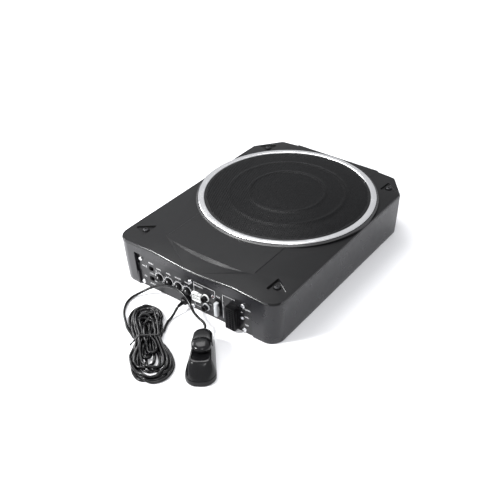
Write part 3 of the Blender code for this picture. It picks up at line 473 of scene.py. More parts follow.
def settle(path, spacing, first, last, rounds=200):
    """Let the folded cord lie: turns push apart, bends even out, and it rests on the floor.

    The first and last points named stay where they are."""
    origin = np.array([*HANK_TOP, 0.0])
    along_axis = np.array([*HANK_ALONG, 0.0])
    across_axis = np.array([*HANK_ACROSS, 0.0])
    head, tail = path[:first].copy(), path[-last:].copy()
    for turn in range(rounds):
        if turn % 10 == 0:
            path = np.concatenate([head, resample(path[first - 1:1 - last], spacing)[1:-1], tail])
            pairs = close_pairs(path, PAIR_REACH, PAIR_APART)
        path[:, 2] -= SETTLE_FALL
        for _ in range(2):
            gap = path[pairs[:, 1]] - path[pairs[:, 0]]
            size = np.linalg.norm(gap, axis=1)
            short = np.clip(SETTLE_GAP - size, 0, None)
            push = gap / np.maximum(size, 1e-6)[:, None] * (SETTLE_PUSH * short)[:, None]
            moved = np.zeros_like(path)
            np.add.at(moved, pairs[:, 1], push)
            np.add.at(moved, pairs[:, 0], -push)
            moved[1:-1] = 0.25 * moved[:-2] + 0.5 * moved[1:-1] + 0.25 * moved[2:]
            path += moved
        path[1:-1] += SETTLE_CALM * (0.5 * (path[:-2] + path[2:]) - path[1:-1])
        ease_bends(path, spacing, BEND_RADIUS, BEND_SHARE)
        local = path - origin
        along, across = local @ along_axis, local @ across_axis
        tied = (np.abs(along - WAIST) < TIE_RUN) & (path[:, 2] < 30) & (np.abs(across) < 22)
        half = TIE_HALF + 0.5 * np.abs(along - WAIST)
        excess = across - MIDDLE[WAIST] - np.clip(across - MIDDLE[WAIST], -half, half)
        path[tied] -= (TIE_PULL * excess[tied])[:, None] * across_axis
        above = np.clip(path[:, 2] - TIE_TOP, 0, None)
        path[:, 2] -= np.where(tied, TIE_PULL * above, 0.0)
        path[:, 2] = np.maximum(path[:, 2], CORD_Z)
        path[:first], path[-last:] = head, tail
    return path


def make_cord():
    spacing = 2.4
    start = catmull(ARC, spacing)
    fold = hank_path()
    entry = fold[0]
    whole = np.array(fold)
    approach = catmull([ARC[-3], ARC[-2], ARC[-1], (-7.5, -265.3, 4.5), entry, fold[3]], spacing)
    cut_at = int(np.argmin(np.linalg.norm(start - np.array(ARC[-3]), axis=1)))
    exit_path = catmull([fold[-3], fold[-1], *LEAD], spacing)
    full = np.concatenate([start[:cut_at], approach[:-1], whole[4:-3], exit_path[1:]])
    full = resample(full, spacing)
    path = settle(full, spacing, int(len(start) * 0.80), int(24 / spacing))
    data = tube_curve("cord", path * MM, CORD_D / 2, 3)
    made = finish_piece("cord", data, "cord", replaces=("cord_lead", "cord_arc", "cord_hank"),
                        slot="cord_sheath")
    return made, path


cord_piece, cord_path = make_cord()


def cross_section(path, along_at):
    """Where the cord's strands cross one station of the hank: (across, height) in millimetres."""
    local = path[:, :2] - HANK_TOP
    along = local @ HANK_ALONG
    across = local @ HANK_ACROSS
    found = []
    for i in range(len(path) - 1):
        a, b = along[i] - along_at, along[i + 1] - along_at
        if a * b <= 0 and abs(across[i]) < 24:
            share = 0 if a == b else a / (a - b)
            found.append((across[i] + (across[i + 1] - across[i]) * share,
                          path[i, 2] + (path[i + 1, 2] - path[i, 2]) * share))
    return found


def hull(points):
    points = sorted(set((round(x, 4), round(y, 4)) for x, y in points))

    def half(seq):
        out = []
        for p in seq:
            while len(out) > 1 and ((out[-1][0] - out[-2][0]) * (p[1] - out[-2][1])
                                    - (out[-1][1] - out[-2][1]) * (p[0] - out[-2][0])) <= 0:
                out.pop()
            out.append(p)
        return out[:-1]

    return half(points) + half(points[::-1])


def make_tie():
    """A flat wire tie drawn tight round the waist, with its two ends twisted together at the left."""
    around = []
    for across, height in cross_section(cord_path, WAIST):
        for k in range(16):
            angle = 2 * math.pi * k / 16
            around.append((across + 1.85 * math.cos(angle), height + 1.8 * math.sin(angle)))
    outline = hull(around)
    build = bmesh.new()

    def ring(offset, along):
        out = []
        count = len(outline)
        for i in range(count):
            before, here, after = (Vector(outline[(i + k) % count]) for k in (-1, 0, 1))
            tangent = (after - before).normalized()
            normal = Vector((tangent.y, -tangent.x))
            place = here + normal * offset
            ground = HANK_TOP + HANK_ALONG * along + HANK_ACROSS * place.x
            out.append(build.verts.new(Vector((ground[0], ground[1], max(0.12, place.y))) * MM))
        return out

    rings = [ring(0.0, WAIST - 1.1), ring(0.5, WAIST - 1.0), ring(0.7, WAIST), ring(0.5, WAIST + 1.0),
             ring(0.0, WAIST + 1.1)]
    skin(build, rings)
    tie = finish_piece("hank_tie_band", data_from(build, "tie"), "tie", replaces=("hank_tie",),
                       slot="black_plastic", smooth=50)
    left = min(outline)
    ends = []
    for k, phase in enumerate((0.0, math.pi)):
        points = []
        for i in range(25):
            t = i / 24
            across = left[0] - 0.4 - 6.0 * t
            swing = 0.75 * (1 - 0.2 * t)
            along = WAIST + 3.5 * t + swing * math.cos(phase + 5.5 * math.pi * t)
            height = 5.6 - 4.4 * t ** 0.8 + swing * math.sin(phase + 5.5 * math.pi * t)
            ground = HANK_TOP + HANK_ALONG * along + HANK_ACROSS * across
            points.append((ground[0] * MM, ground[1] * MM, max(0.7, height) * MM))
        data = tube_curve(f"tie_end_{k}", points, 0.6, 2)
        ends.append(finish_piece(f"hank_tie_end_{k}", data, "tie", slot="black_plastic"))
    return [tie, *ends]


tie_pieces = make_tie()


# ---------------------------------------------------------------- housing

HALF_WIDTH, HALF_LENGTH = 126.0, 168.4
FRONT_CORNER_R = 22.0
NOTCH_X, NOTCH_DEPTH = 69.0, 2.2
PLATEAU_Z, PLATEAU_X = 67.3, 68.3
CREASE_STEP, CREASE_RUN = 0.5, 1.0
WING_SLOPE = 0.055
REAR_FALL, REAR_FALL_START = 2.2, 120.0
RIM_ROUND = 1.8
SHOULDER, SCOOP = (63.0, -HALF_LENGTH), (10.0, -HALF_LENGTH)
SCOOP_Z = 62.7
APEX = (69.5, -133.0)
BROW_HALF, BROW_Y, BROW_BOW, BROW_RUN, BROW_DROP = 57.0, -137.2, 1.8, 3.6, 3.4
SEAM_DROP = 2.7
GAP = 0.3
SCREWS = [(-103.5, -134.5), (103.5, -134.5), (-103.5, 135.5), (103.5, 135.5)]
SCREW_NAMES = ["front_left", "front_right", "rear_left", "rear_right"]
RECESS = [(-7.0, 13.5), (-7.5, -11.5), (15.5, -2.0)]
RECESS_Z = 62.6
PANEL_X = (-95.0, 89.5)
PANEL_Y = -163.0


def outline_points():
    corner = (HALF_WIDTH - FRONT_CORNER_R, -HALF_LENGTH + FRONT_CORNER_R)
    rear = HALF_LENGTH - NOTCH_DEPTH
    right = [SCOOP, (36.5, -HALF_LENGTH), SHOULDER, (82.0, -HALF_LENGTH)]
    right += [(corner[0] + FRONT_CORNER_R * math.cos(math.radians(a)),
               corner[1] + FRONT_CORNER_R * math.sin(math.radians(a))) for a in np.linspace(-90, 0, 23)]
    right += [(HALF_WIDTH, y) for y in (-100.0, -50.0, 0.0, 50.0, 100.0)]
    chamfer_low, chamfer_high = (HALF_WIDTH, HALF_LENGTH - 39.0), (HALF_WIDTH - 29.0, rear)
    for corner_point, before, after in ((chamfer_low, (HALF_WIDTH, 100.0), chamfer_high),
                                        (chamfer_high, chamfer_low, (NOTCH_X + 1, rear))):
        here = Vector(corner_point)
        back = (Vector(before) - here).normalized() * 3.0
        ahead = (Vector(after) - here).normalized() * 3.0
        for t in (0.0, 0.25, 0.5, 0.75, 1.0):
            a = here + back * (1 - t)
            b = here + ahead * t
            right.append(tuple(a.lerp(b, t)))
    right += [(NOTCH_X + CREASE_RUN, rear), (NOTCH_X, HALF_LENGTH), (35.0, HALF_LENGTH)]
    return right + [(-x, y) for x, y in reversed(right)]


OUTLINE = outline_points()


def inset(points, distance):
    if distance == 0:
        return list(points)
    out = []
    count = len(points)
    for i in range(count):
        before, here, after = (Vector(points[(i + k) % count]) for k in (-1, 0, 1))
        n1 = Vector((-(here - before).y, (here - before).x)).normalized()
        n2 = Vector((-(after - here).y, (after - here).x)).normalized()
        out.append(tuple(here + (n1 + n2) * (distance / (1 + n1.dot(n2)))))
    return out


def cover_height(x, y):
    reach = max(0.0, y - REAR_FALL_START) / (HALF_LENGTH - REAR_FALL_START)
    beside = abs(x) - PLATEAU_X
    if beside <= 1e-6:
        return PLATEAU_Z - REAR_FALL * reach
    step = CREASE_STEP * min(1.0, beside / CREASE_RUN)
    return PLATEAU_Z - step - WING_SLOPE * max(0.0, beside - CREASE_RUN) - REAR_FALL * reach


def rim_height(x, y):
    if y < -HALF_LENGTH + RIM_ROUND + 0.1 and abs(x) < HALF_WIDTH - FRONT_CORNER_R:
        side = abs(x)
        if side >= SHOULDER[0]:
            return PLATEAU_Z - WING_SLOPE * (side - SHOULDER[0])
        share = max(0.0, side - SCOOP[0]) / (SHOULDER[0] - SCOOP[0])
        return SCOOP_Z + (PLATEAU_Z - SCOOP_Z) * share
    return cover_height(x, y)


RIM = inset(OUTLINE, RIM_ROUND)
RIM_Z = [rim_height(x, y) for x, y in RIM]


def top_layout():
    points = [(x, y, z) for (x, y), z in zip(RIM, RIM_Z)]
    count = len(points)
    edges = [(i, (i + 1) % count) for i in range(count)]
    at = {}
    for side in (-1, 1):
        first = len(points)
        at[side] = first
        y = APEX[1] + 3.0
        points.append((side * APEX[0], APEX[1], PLATEAU_Z - CREASE_STEP / 2))
        for along in (y, REAR_FALL_START):
            points.append((side * PLATEAU_X, along, PLATEAU_Z))
            points.append((side * (PLATEAU_X + CREASE_RUN), along, PLATEAU_Z - CREASE_STEP))
        edges += [(first, first + 1), (first, first + 2), (first + 1, first + 3), (first + 2, first + 4)]
    nearest = {}
    for name, place in (("shoulder", SHOULDER), ("scoop", SCOOP)):
        for side in (-1, 1):
            nearest[name, side] = min(range(count), key=lambda i: (RIM[i][0] - side * place[0]) ** 2
                                      + (RIM[i][1] - place[1]) ** 2)
    for side in (-1, 1):
        edges += [(at[side], nearest["shoulder", side]), (at[side], nearest["scoop", side])]
    steps = 24
    line = [-1 + 2 * k / steps for k in range(steps + 1)]
    first_upper = len(points)
    points += [(BROW_HALF * t, BROW_Y - BROW_BOW * (1 - t * t), PLATEAU_Z) for t in line]
    edges += [(first_upper + k, first_upper + k + 1) for k in range(steps)]
    first_lower = len(points)
    points += [(BROW_HALF * t, BROW_Y - (BROW_BOW + BROW_RUN) * (1 - t * t),
                PLATEAU_Z - BROW_DROP * (1 - t * t)) for t in line[1:-1]]
    chain = [first_upper, *range(first_lower, len(points)), first_upper + steps]
    edges += list(zip(chain, chain[1:]))
    edges += [(at[-1], first_upper), (at[1], first_upper + steps)]
    return points, edges, count


def cover_solid():
    points, edges, count = top_layout()
    flat = [Vector((x, y)) for x, y, _ in points]
    found, _, faces, origins, _, _ = delaunay_2d_cdt(flat, edges, [list(range(count))], 1, 1e-6)
    build = bmesh.new()
    top = []
    for i, place in enumerate(found):
        source = origins[i][0] if origins[i] else None
        z = points[source][2] if source is not None else cover_height(*place)
        top.append(build.verts.new((place.x, place.y, z)))
    for face in faces:
        build.faces.new([top[i] for i in face])
    where = {}
    for i, sources in enumerate(origins):
        for source in sources:
            where[source] = i
    rings = [[top[where[i]] for i in range(count)]]
    for k in range(1, 6):
        angle = math.pi / 2 * k / 5
        inward, drop = RIM_ROUND * (1 - math.sin(angle)), RIM_ROUND * (1 - math.cos(angle))
        rings.append([build.verts.new((*p, z - drop)) for p, z in zip(inset(OUTLINE, inward), RIM_Z)])
    seam = [z - SEAM_DROP for z in RIM_Z]
    for distance, heights in ((0.0, seam), (5.2, seam), (5.2, [58.4] * count), (8.0, [58.4] * count),
                              (8.0, [60.6] * count)):
        rings.append([build.verts.new((*p, z)) for p, z in zip(inset(OUTLINE, distance), heights)])
    skin(build, rings)
    build.faces.new(rings[-1])
    to_metres(build)
    return data_from(build, "cover")


def place_object(data):
    """Put a mesh in the scene under its own name."""
    made = bpy.data.objects.new(data.name, data)
    bpy.context.scene.collection.objects.link(made)
    return made


def boolean(target, cutters, operation):
    for cutter in cutters:
        modifier = target.modifiers.new(cutter.name, "BOOLEAN")
        modifier.operation = operation
        modifier.object = cutter
        modifier.solver = "EXACT"
    bpy.context.view_layer.update()
    evaluated = target.evaluated_get(bpy.context.evaluated_depsgraph_get())
    data = bpy.data.meshes.new_from_object(evaluated)
    target.modifiers.clear()
    target.data = data
    for cutter in cutters:
        bpy.data.objects.remove(cutter)
    return target


def recess_cutter(x, y):
    """A three-sided pocket with rounded corners and a sloped wall."""
    side = 1 if x > 0 else -1
    corners = [Vector((x + side * dx, y + dy)) for dx, dy in RECESS]
    if side < 0:
        corners.reverse()
    loop = []
    for i in range(3):
        before, here, after = corners[i - 1], corners[i], corners[(i + 1) % 3]
        back = (before - here).normalized() * 4.0
        ahead = (after - here).normalized() * 4.0
        for t in (0.0, 0.25, 0.5, 0.75, 1.0):
            loop.append((here + back * (1 - t)).lerp(here + ahead * t, t))
    centre = sum(loop, Vector((0, 0))) / len(loop)
    build = bmesh.new()
    rings = []
    for grow, z in ((0.90, RECESS_Z), (0.96, RECESS_Z + 0.35), (1.06, RECESS_Z + 2.4), (1.16, RECESS_Z + 3.6),
                    (1.6, 75.0)):
        rings.append([build.verts.new((*(centre + (p - centre) * grow), z)) for p in loop])
    skin(build, rings)
    build.faces.new(rings[0])
    build.faces.new(rings[-1])
    to_metres(build)
    return place_object(data_from(build, f"recess_{x:.0f}_{y:.0f}"))


def make_cover():
    cover = place_object(cover_solid())
    boss = place_object(lathe_data("boss", [(100, 61.5), (100, 68.5), (122.6, 68.5), (123.3, 68.3), (123.7, 67.8),
                                         (124.6, 67.5), (124.9, 67.1), (124.9, 61.5)], 192, WOOFER))
    boolean(cover, [boss], "UNION")
    hole = place_object(lathe_data("hole", [(0, 50), (104, 50), (104, 68.0), (113.5, 68.0), (113.5, 80), (0, 80)],
                                192, WOOFER))
    boolean(cover, [hole, *[recess_cutter(x, y) for x, y in SCREWS]], "DIFFERENCE")
    data = drop_object(cover)
    build = bmesh.new()
    build.from_mesh(data)
    bmesh.ops.remove_doubles(build, verts=build.verts, dist=2e-6)
    bmesh.ops.dissolve_degenerate(build, edges=build.edges, dist=2e-6)
    build.to_mesh(data)
    build.free()
    finish_piece("cover", data, "housing", replaces=("top_cover",), slot="cast_shell", smooth=17)
    data.materials.append(M["housing_painted_highlight"])
    data.materials.append(M["black_and_painted_shade"])
    # Sloped cover faces: the rim, the boss edge and the recess walls facing the left get the painted highlight copy;
    # the other recess walls get painted shade.
    for face in data.polygons:
        if not 0.12 < face.normal.z < 0.97:
            continue
        x, y = face.center.x / MM, face.center.y / MM
        at_rim = abs(x) > 123.5 or y < -165.9 or y > 163.5
        at_boss = 121.5 < math.hypot(x - WOOFER.x / MM, y - WOOFER.y / MM) < 125.5
        at_recess = any(math.hypot(x - sx, y - sy) < 22 for sx, sy in SCREWS)
        if at_rim or at_boss or (at_recess and face.normal.x < -0.3):
            face.material_index = 1
        elif at_recess:
            face.material_index = 2


def make_tray():
    build = bmesh.new()
    rings = []
    profile = [(3.0 + 2.6, 0.0, None), (3.0 + 1.3, 0.25, None), (3.0 + 0.5, 0.9, None), (3.0 + 0.1, 2.2, None),
               (2.7, 8.0, None), (2.0, 20.0, None), (1.0, 39.0, None), (0.3, None, SEAM_DROP + GAP),
               (4.3, None, SEAM_DROP + GAP), (7.3, 4.0, None)]
    for distance, z, drop in profile:
        places = inset(OUTLINE, distance)
        heights = [z] * len(places) if drop is None else [r - drop for r in RIM_Z]
        rings.append([build.verts.new(Vector((*p, h)) * MM) for p, h in zip(places, heights)])
    skin(build, rings)
    build.faces.new(rings[0])
    build.faces.new(rings[-1])
    tray = place_object(data_from(build, "tray"))
    window = bmesh.new()
    rounded_box(window, (PANEL_X[0], -180, -3), (PANEL_X[1], -160.7, 52.0), 0)
    relief = bmesh.new()
    rounded_box(relief, (PANEL_X[0], -170, 4.2), (PANEL_X[1], -158, 52.0), 0)
    cutters = [place_object(data_from(window, "window")), place_object(data_from(relief, "relief"))]
    boolean(tray, cutters, "DIFFERENCE")
    data = drop_object(tray)
    finish_piece("tray", data, "housing_wall", replaces=("lower_tray",), slot="cast_shell", smooth=25)


make_cover()
make_tray()


# ---------------------------------------------------------------- trim, grille, woofer


def make_trim():
    lathe("trim", [(113.75, 68.85), (122.0, 68.85), (122.05, 69.2), (121.9, 69.6), (121.4, 70.0), (120.6, 70.2),
                   (115.6, 70.2), (114.8, 70.05), (114.2, 69.7), (113.85, 69.3)],
          "silver", 240, WOOFER, smooth=60, replaces=("trim_ring",), slot="trim_silver")


def grille_height(radius):
    """A shallow dome with two pressed ridges."""
    ridges = sum(0.85 * math.exp(-((radius - at) / wide) ** 2) for at, wide in ((52.0, 2.4), (80.0, 2.8)))
    return 69.4 + 4.1 * (1 - (radius / 113.2) ** 2) + ridges


def make_grille():
    """A perforated dome: one hexagon of sheet round each punched hole, inside a plain rim."""
    pitch = 2.5
    hole = 0.94
    limit = 111.4
    side = pitch / math.sqrt(3)
    rows = int(limit / (pitch * math.sqrt(3) / 2)) + 1
    cells = []
    turn = math.radians(20)
    for row in range(-rows, rows + 1):
        y = row * pitch * math.sqrt(3) / 2
        shift = pitch / 2 if row % 2 else 0.0
        for col in range(-60, 61):
            x = col * pitch + shift
            if math.hypot(x, y) < limit - pitch * 0.45:
                cells.append((x * math.cos(turn) - y * math.sin(turn),
                              x * math.sin(turn) + y * math.cos(turn)))
    corner_index, verts, faces = {}, [], []

    def height(x, y, down=0.0):
        return grille_height(math.hypot(x, y)) - down

    def shared(x, y):
        key = (round(x * 50), round(y * 50))
        if key not in corner_index:
            corner_index[key] = len(verts)
            verts.append((x, y, height(x, y)))
        return corner_index[key]

    count_edges = {}
    for x, y in cells:
        outer, top, low = [], [], []
        for k in range(6):
            angle = turn + math.radians(60 * k + 30)
            outer.append(shared(x + side * math.cos(angle), y + side * math.sin(angle)))
            px, py = x + hole * math.cos(angle), y + hole * math.sin(angle)
            top.append(len(verts))
            verts.append((px, py, height(px, py)))
            low.append(len(verts))
            verts.append((px, py, height(px, py, 0.9)))
        for k in range(6):
            n = (k + 1) % 6
            faces.append((outer[k], outer[n], top[n], top[k]))
            faces.append((top[k], top[n], low[n], low[k]))
            key = tuple(sorted((outer[k], outer[n])))
            count_edges[key] = count_edges.get(key, 0) + 1
    edge_of = {}
    for (a, b), times in count_edges.items():
        if times == 1:
            edge_of.setdefault(a, []).append(b)
            edge_of.setdefault(b, []).append(a)
    rim = {}
    for a in edge_of:
        x, y, _ = verts[a]
        angle = math.atan2(y, x)
        rim[a] = len(verts)
        verts.append((112.4 * math.cos(angle), 112.4 * math.sin(angle), grille_height(112.4)))
    for (a, b), times in count_edges.items():
        if times == 1:
            faces.append((a, b, rim[b], rim[a]))
    data = bpy.data.meshes.new("grille")
    data.from_pydata([tuple((Vector(v) * MM + WOOFER)) for v in verts], [], faces)
    data.validate()
    build = bmesh.new()
    build.from_mesh(data)
    bmesh.ops.recalc_face_normals(build, faces=build.faces)
    build.to_mesh(data)
    build.free()
    finish_piece("grille_mesh", data, "grille", replaces=("speaker_grille",), slot="grille_mesh",
                 smooth=30)
    lathe("grille_rim", [(111.2, 68.6), (113.2, 68.3), (113.3, 69.0), (112.9, 69.5), (112.0, 69.62), (111.0, 69.65)],
          "grille", 200, WOOFER, slot="grille_mesh")


def make_woofer():
    roll = []
    for k in range(25):
        angle = math.pi * k / 24
        roll.append((85.75 + 7.75 * math.cos(angle), 59.4 + 6.6 * math.sin(angle)))
    surround_profile = [(97.5, 58.6), (97.5, 59.4), (94.6, 59.45), *roll, (77.4, 59.9), (75.5, 60.3), (75.4, 59.6),
                        (79.0, 58.9), (85.0, 58.9), (92.4, 58.7)]
    build_data = lathe_data("surround", surround_profile, 128, WOOFER)
    surround = place_object(build_data)
    build_data.materials.append(M["rubber"])
    build_data.shade_smooth()
    build_data.set_sharp_from_angle(angle=math.radians(40))
    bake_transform(surround, "enclosure", "cone_assembly", (WOOFER.x + 0.1, WOOFER.y, 0.06),
             (WOOFER.x, WOOFER.y, 0.06))
    weights = []
    for vertex in build_data.vertices:
        radius = math.hypot(vertex.co.x - WOOFER.x, vertex.co.y - WOOFER.y) / MM
        weights.append(1 - ease((radius - 79.0) / (93.0 - 79.0)))
    build_data.attributes["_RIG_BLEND"].data.foreach_set("value", weights)
    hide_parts("woofer_surround")
    lathe("cone", [(76.8, 58.3), (79.2, 59.2), (77.2, 59.9), (66.0, 56.2), (52.0, 51.4), (38.0, 47.8), (26.3, 45.9),
                   (26.3, 44.9), (38.0, 46.8), (52.0, 50.4), (66.0, 55.2)],
          "cone", 128, WOOFER, body="cone_assembly", replaces=("woofer_cone",), slot="cone_paper")
    cap = [(54.4, 54.6), (54.6, 57.0), (54.0, 60.0), (52.4, 62.2), (50.2, 63.0), (47.6, 62.5), (45.0, 61.6),
           (38.0, 62.6), (26.0, 63.5), (12.0, 64.0), (0.0, 64.1)]
    lathe("dust_cap_piece", [*cap, (0.0, 63.2), (26.0, 62.6), (45.0, 60.6), (50.0, 61.9), (53.0, 59.4), (53.5, 54.6)],
          "cap", 128, WOOFER, body="cone_assembly", replaces=("dust_cap",), slot="cone_paper", smooth=60)


make_trim()
make_grille()
make_woofer()


# ---------------------------------------------------------------- screws


def cross_head(name, head_r, head_h, place, turn, body="enclosure", spin=0.3, **named):
    """A pan head with a cross recess, as one mesh."""
    build = bmesh.new()
    profile = [(head_r, 0.0), (head_r, head_h * 0.35), (head_r * 0.92, head_h * 0.68), (head_r * 0.75, head_h * 0.9),
               (head_r * 0.6, head_h)]
    segments = 32
    angles = [2 * math.pi * k / segments for k in range(segments)]
    rings = [[build.verts.new((r * math.cos(a), r * math.sin(a), z)) for a in angles] for r, z in profile]
    skin(build, rings)
    arm, half, deep = head_r * 0.5, head_r * 0.11, head_h * 0.55
    cross = [(arm, -half), (arm, half), (half, half), (half, arm), (-half, arm), (-half, half), (-arm, half),
             (-arm, -half), (-half, -half), (-half, -arm), (half, -arm), (half, -half)]
    c, s = math.cos(spin), math.sin(spin)
    cross = [(x * c - y * s, x * s + y * c) for x, y in cross]
    flat = [Vector(v.co.xy) for v in rings[-1]] + [Vector(p) for p in cross]
    edges = [(k, (k + 1) % segments) for k in range(segments)]
    edges += [(segments + k, segments + (k + 1) % 12) for k in range(12)]
    found, _, faces, origins, _, _ = delaunay_2d_cdt(flat, edges, [], 1, 1e-7)
    lip = [build.verts.new((*p, head_h)) for p in cross]
    floor = [build.verts.new((p[0] * 0.85, p[1] * 0.85, head_h - deep)) for p in cross]
    known = [*rings[-1], *lip]
    lookup = [known[origins[i][0]] for i in range(len(found))]
    for face in faces:
        middle = sum((found[i] for i in face), Vector((0, 0))) / len(face)
        local = (abs(middle.x * c + middle.y * s), abs(-middle.x * s + middle.y * c))
        inside = (local[0] < half and local[1] < arm) or (local[1] < half and local[0] < arm)
        if not inside:
            build.faces.new([lookup[i] for i in face])
    for k in range(12):
        build.faces.new((lip[k - 1], lip[k], floor[k], floor[k - 1]))
    build.faces.new(floor)
    build.faces.new(rings[0])
    to_metres(build)
    if turn is not None:
        bmesh.ops.transform(build, matrix=turn, verts=build.verts)
    bmesh.ops.translate(build, vec=Vector(place) * MM, verts=build.verts)
    return finish_piece(name, data_from(build, name), named.pop("material", "steel"), body=body, smooth=35, **named)


for (sx, sy), name in zip(SCREWS, SCREW_NAMES):
    cross_head(f"cover_screw_head_{name}", 4.0, 2.4, (sx, sy, RECESS_Z + 0.15), None,
               spin=0.4 + sx * 0.01 + sy * 0.02, material="dark_steel", replaces=(f"cover_screw_{name}",), slot="screw_steel")
    # A near-black ring under each cover screw head: painted shade round the screw head.
    lathe(f"screw_painted_shade_ring_{name}", [(2.2, 0.0), (4.9, 0.0), (4.9, 0.35), (4.6, 0.5), (2.2, 0.5)], "black_and_painted_shade", 32,
          (sx * MM, sy * MM, (RECESS_Z - 0.1) * MM), slot="screw_steel")


# ---------------------------------------------------------------- control panel

KNOBS = {"gain": (-59.0, 23.6), "crossover": (-43.0, 23.8), "boost": (-27.0, 23.8), "phase": (-13.0, 23.2)}
PANEL_SCREWS = [(-89.0, 41.5), (-87.0, 6.0), (-6.5, 41.0), (-4.5, 4.4), (74.5, 41.0), (76.0, 5.0)]


def printed(name, shapes):
    """Flat printing a hair above the panel: each shape is a closed loop of (x, z) points."""
    build = bmesh.new()
    for loop in shapes:
        verts = [build.verts.new((x * MM, (PANEL_Y - 0.06) * MM, z * MM)) for x, z in loop]
        build.faces.new(verts)
    for face in build.faces:
        face.normal_update()
        if face.normal.y > 0:
            face.normal_flip()
    data = bpy.data.meshes.new(name)
    build.to_mesh(data)
    build.free()
    return finish_piece(name, data, "print", slot="panel_face")


def bar(x0, z0, x1, z1):
    return [(x0, z0), (x1, z0), (x1, z1), (x0, z1)]


def arc_band(x, z, r0, r1, start, end, steps=24):
    angles = [math.radians(start + (end - start) * k / steps) for k in range(steps + 1)]
    outer, inner = ([(x + r * math.cos(a), z + r * math.sin(a)) for a in angles] for r in (r1, r0))
    return outer + inner[::-1]


def label(name, text, x, z, size, material="print"):
    data = bpy.data.curves.new(name, "FONT")
    data.body = text
    data.size = size * MM
    data.align_x = "CENTER"
    data.align_y = "CENTER"
    data.resolution_u = 2
    data.offset = size * 0.012 * MM
    made = place_object(data)
    made.rotation_euler = (math.pi / 2, 0, 0)
    made.location = (x * MM, (PANEL_Y - 0.07) * MM, z * MM)
    bpy.context.view_layer.update()
    evaluated = made.evaluated_get(bpy.context.evaluated_depsgraph_get())
    flat = bpy.data.meshes.new_from_object(evaluated)
    flat.transform(made.matrix_world)
    bpy.data.objects.remove(made)
    return finish_piece(name, flat, material, slot="panel_face")


def make_panel():
    panel_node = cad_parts["control_panel"]
    panel_node.data.materials.clear()
    panel_node.data.materials.append(M["panel"])
    bevel = panel_node.modifiers.new("edge", "BEVEL")
    bevel.width = 0.00025
    bevel.segments = 2
    bevel.limit_method = "ANGLE"
    shapes = []
    for x, z in KNOBS.values():
        shapes.append(arc_band(x, z, 6.5, 7.2, -60, 240))
        for k in range(11):
            angle = math.radians(-50 + 28 * k)
            cx, cz = x + 8.3 * math.cos(angle), z + 8.3 * math.sin(angle)
            shapes.append(arc_band(cx, cz, 0.0, 0.4, 0, 359, 8)[:9])
    shapes += [bar(-1.6, 7.0, -1.1, 43.2), bar(-1.6, 42.7, 31.8, 43.2), bar(31.3, 34.0, 31.8, 43.2),
               bar(-1.6, 7.0, 8.0, 7.5)]
    shapes += [bar(43.3, 7.0, 43.8, 43.6), bar(43.3, 43.1, 62.6, 43.6)]
    shapes += [bar(-80.5, 30.0, -80.0, 34.0), bar(-64.0, 30.0, -63.5, 34.0)]
    printed("panel_lines", shapes)
    words = [("MIN", -66.0, 14.2, 2.1), ("MAX", -52.0, 14.2, 2.1), ("GAIN", -59.0, 36.4, 3.0),
             ("FREQ", -43.0, 36.4, 3.0), ("BOOST", -27.0, 36.4, 3.0), ("PHASE", -12.0, 36.0, 2.8),
             ("HIGH", -72.0, 40.2, 3.4), ("LOW", -72.0, 24.2, 2.8), ("INPUT", -83.5, 31.5, 2.8),
             ("AUTO", -72.0, 7.6, 3.2), ("ON", -83.5, 15.8, 2.8), ("REMOTE", -14.0, 4.0, 2.4),
             ("HIGH LEVEL", 6.0, 39.0, 2.8), ("LINE", 24.0, 18.6, 2.4), ("FUSE", 36.6, 36.4, 2.8),
             ("POWER", 80.0, 37.0, 3.0), ("GND", 79.4, 25.5, 2.8), ("REM", 79.2, 13.0, 2.8), ("B+", 72.5, 30.0, 2.6)]
    for k, (text, x, z, size) in enumerate(words):
        label(f"panel_word_{k}", text, x, z, size)
    for k, (x, z) in enumerate(PANEL_SCREWS):
        cross_head(f"panel_screw_head_{k + 1}", 2.9, 1.9, (x, PANEL_Y - 0.02, z), FACE_FRONT, spin=0.5 + k,
                   material="steel", replaces=(f"panel_screw_{k + 1}",), slot="screw_steel")
    boxes("panel_corner", [((-96.0, -165.9, 1.2), (-92.6, -161.5, 21.0))], "housing_wall", 0.6, slot="cast_shell")
    # A near-black sheet behind the panel: painted shade in the gaps round the panel.
    boxes("panel_painted_shade_sheet", [((-94.5, -160.6, 1.0), (89.0, -160.3, 51.0))], "black_and_painted_shade", 0, slot="panel_face")


def make_knob(name, x, z):
    """A fluted knob with a pointer slot, on its own body."""
    build = bmesh.new()
    segments = 48
    rings = []
    for radius, y in ((4.45, 5.0), (4.5, -3.1), (4.3, -3.6), (3.9, -3.8), (3.5, -3.5), (3.2, -3.35), (1.6, -3.45)):
        ring = []
        for k in range(segments):
            flute = 0.22 if (k % 4 in (0, 1)) and radius > 4.2 else 0.0
            angle = 2 * math.pi * k / segments
            ring.append(build.verts.new(((x + (radius - flute) * math.cos(angle)) * MM, (PANEL_Y + y) * MM,
                                         (z + (radius - flute) * math.sin(angle)) * MM)))
        rings.append(ring)
    skin(build, rings)
    build.faces.new(rings[0])
    build.faces.new(rings[-1])
    finish_piece(f"{name}_dial", data_from(build, name), "plastic", body=f"{name}_control",
                 replaces=(f"{name}_knob",), slot="black_plastic", smooth=30)
    boxes(f"{name}_dial_mark", [((x - 0.35, PANEL_Y - 4.0, z + 0.4), (x + 0.35, PANEL_Y - 3.3, z + 3.6))], "print", 0.1,
          body=f"{name}_control", slot="black_plastic")


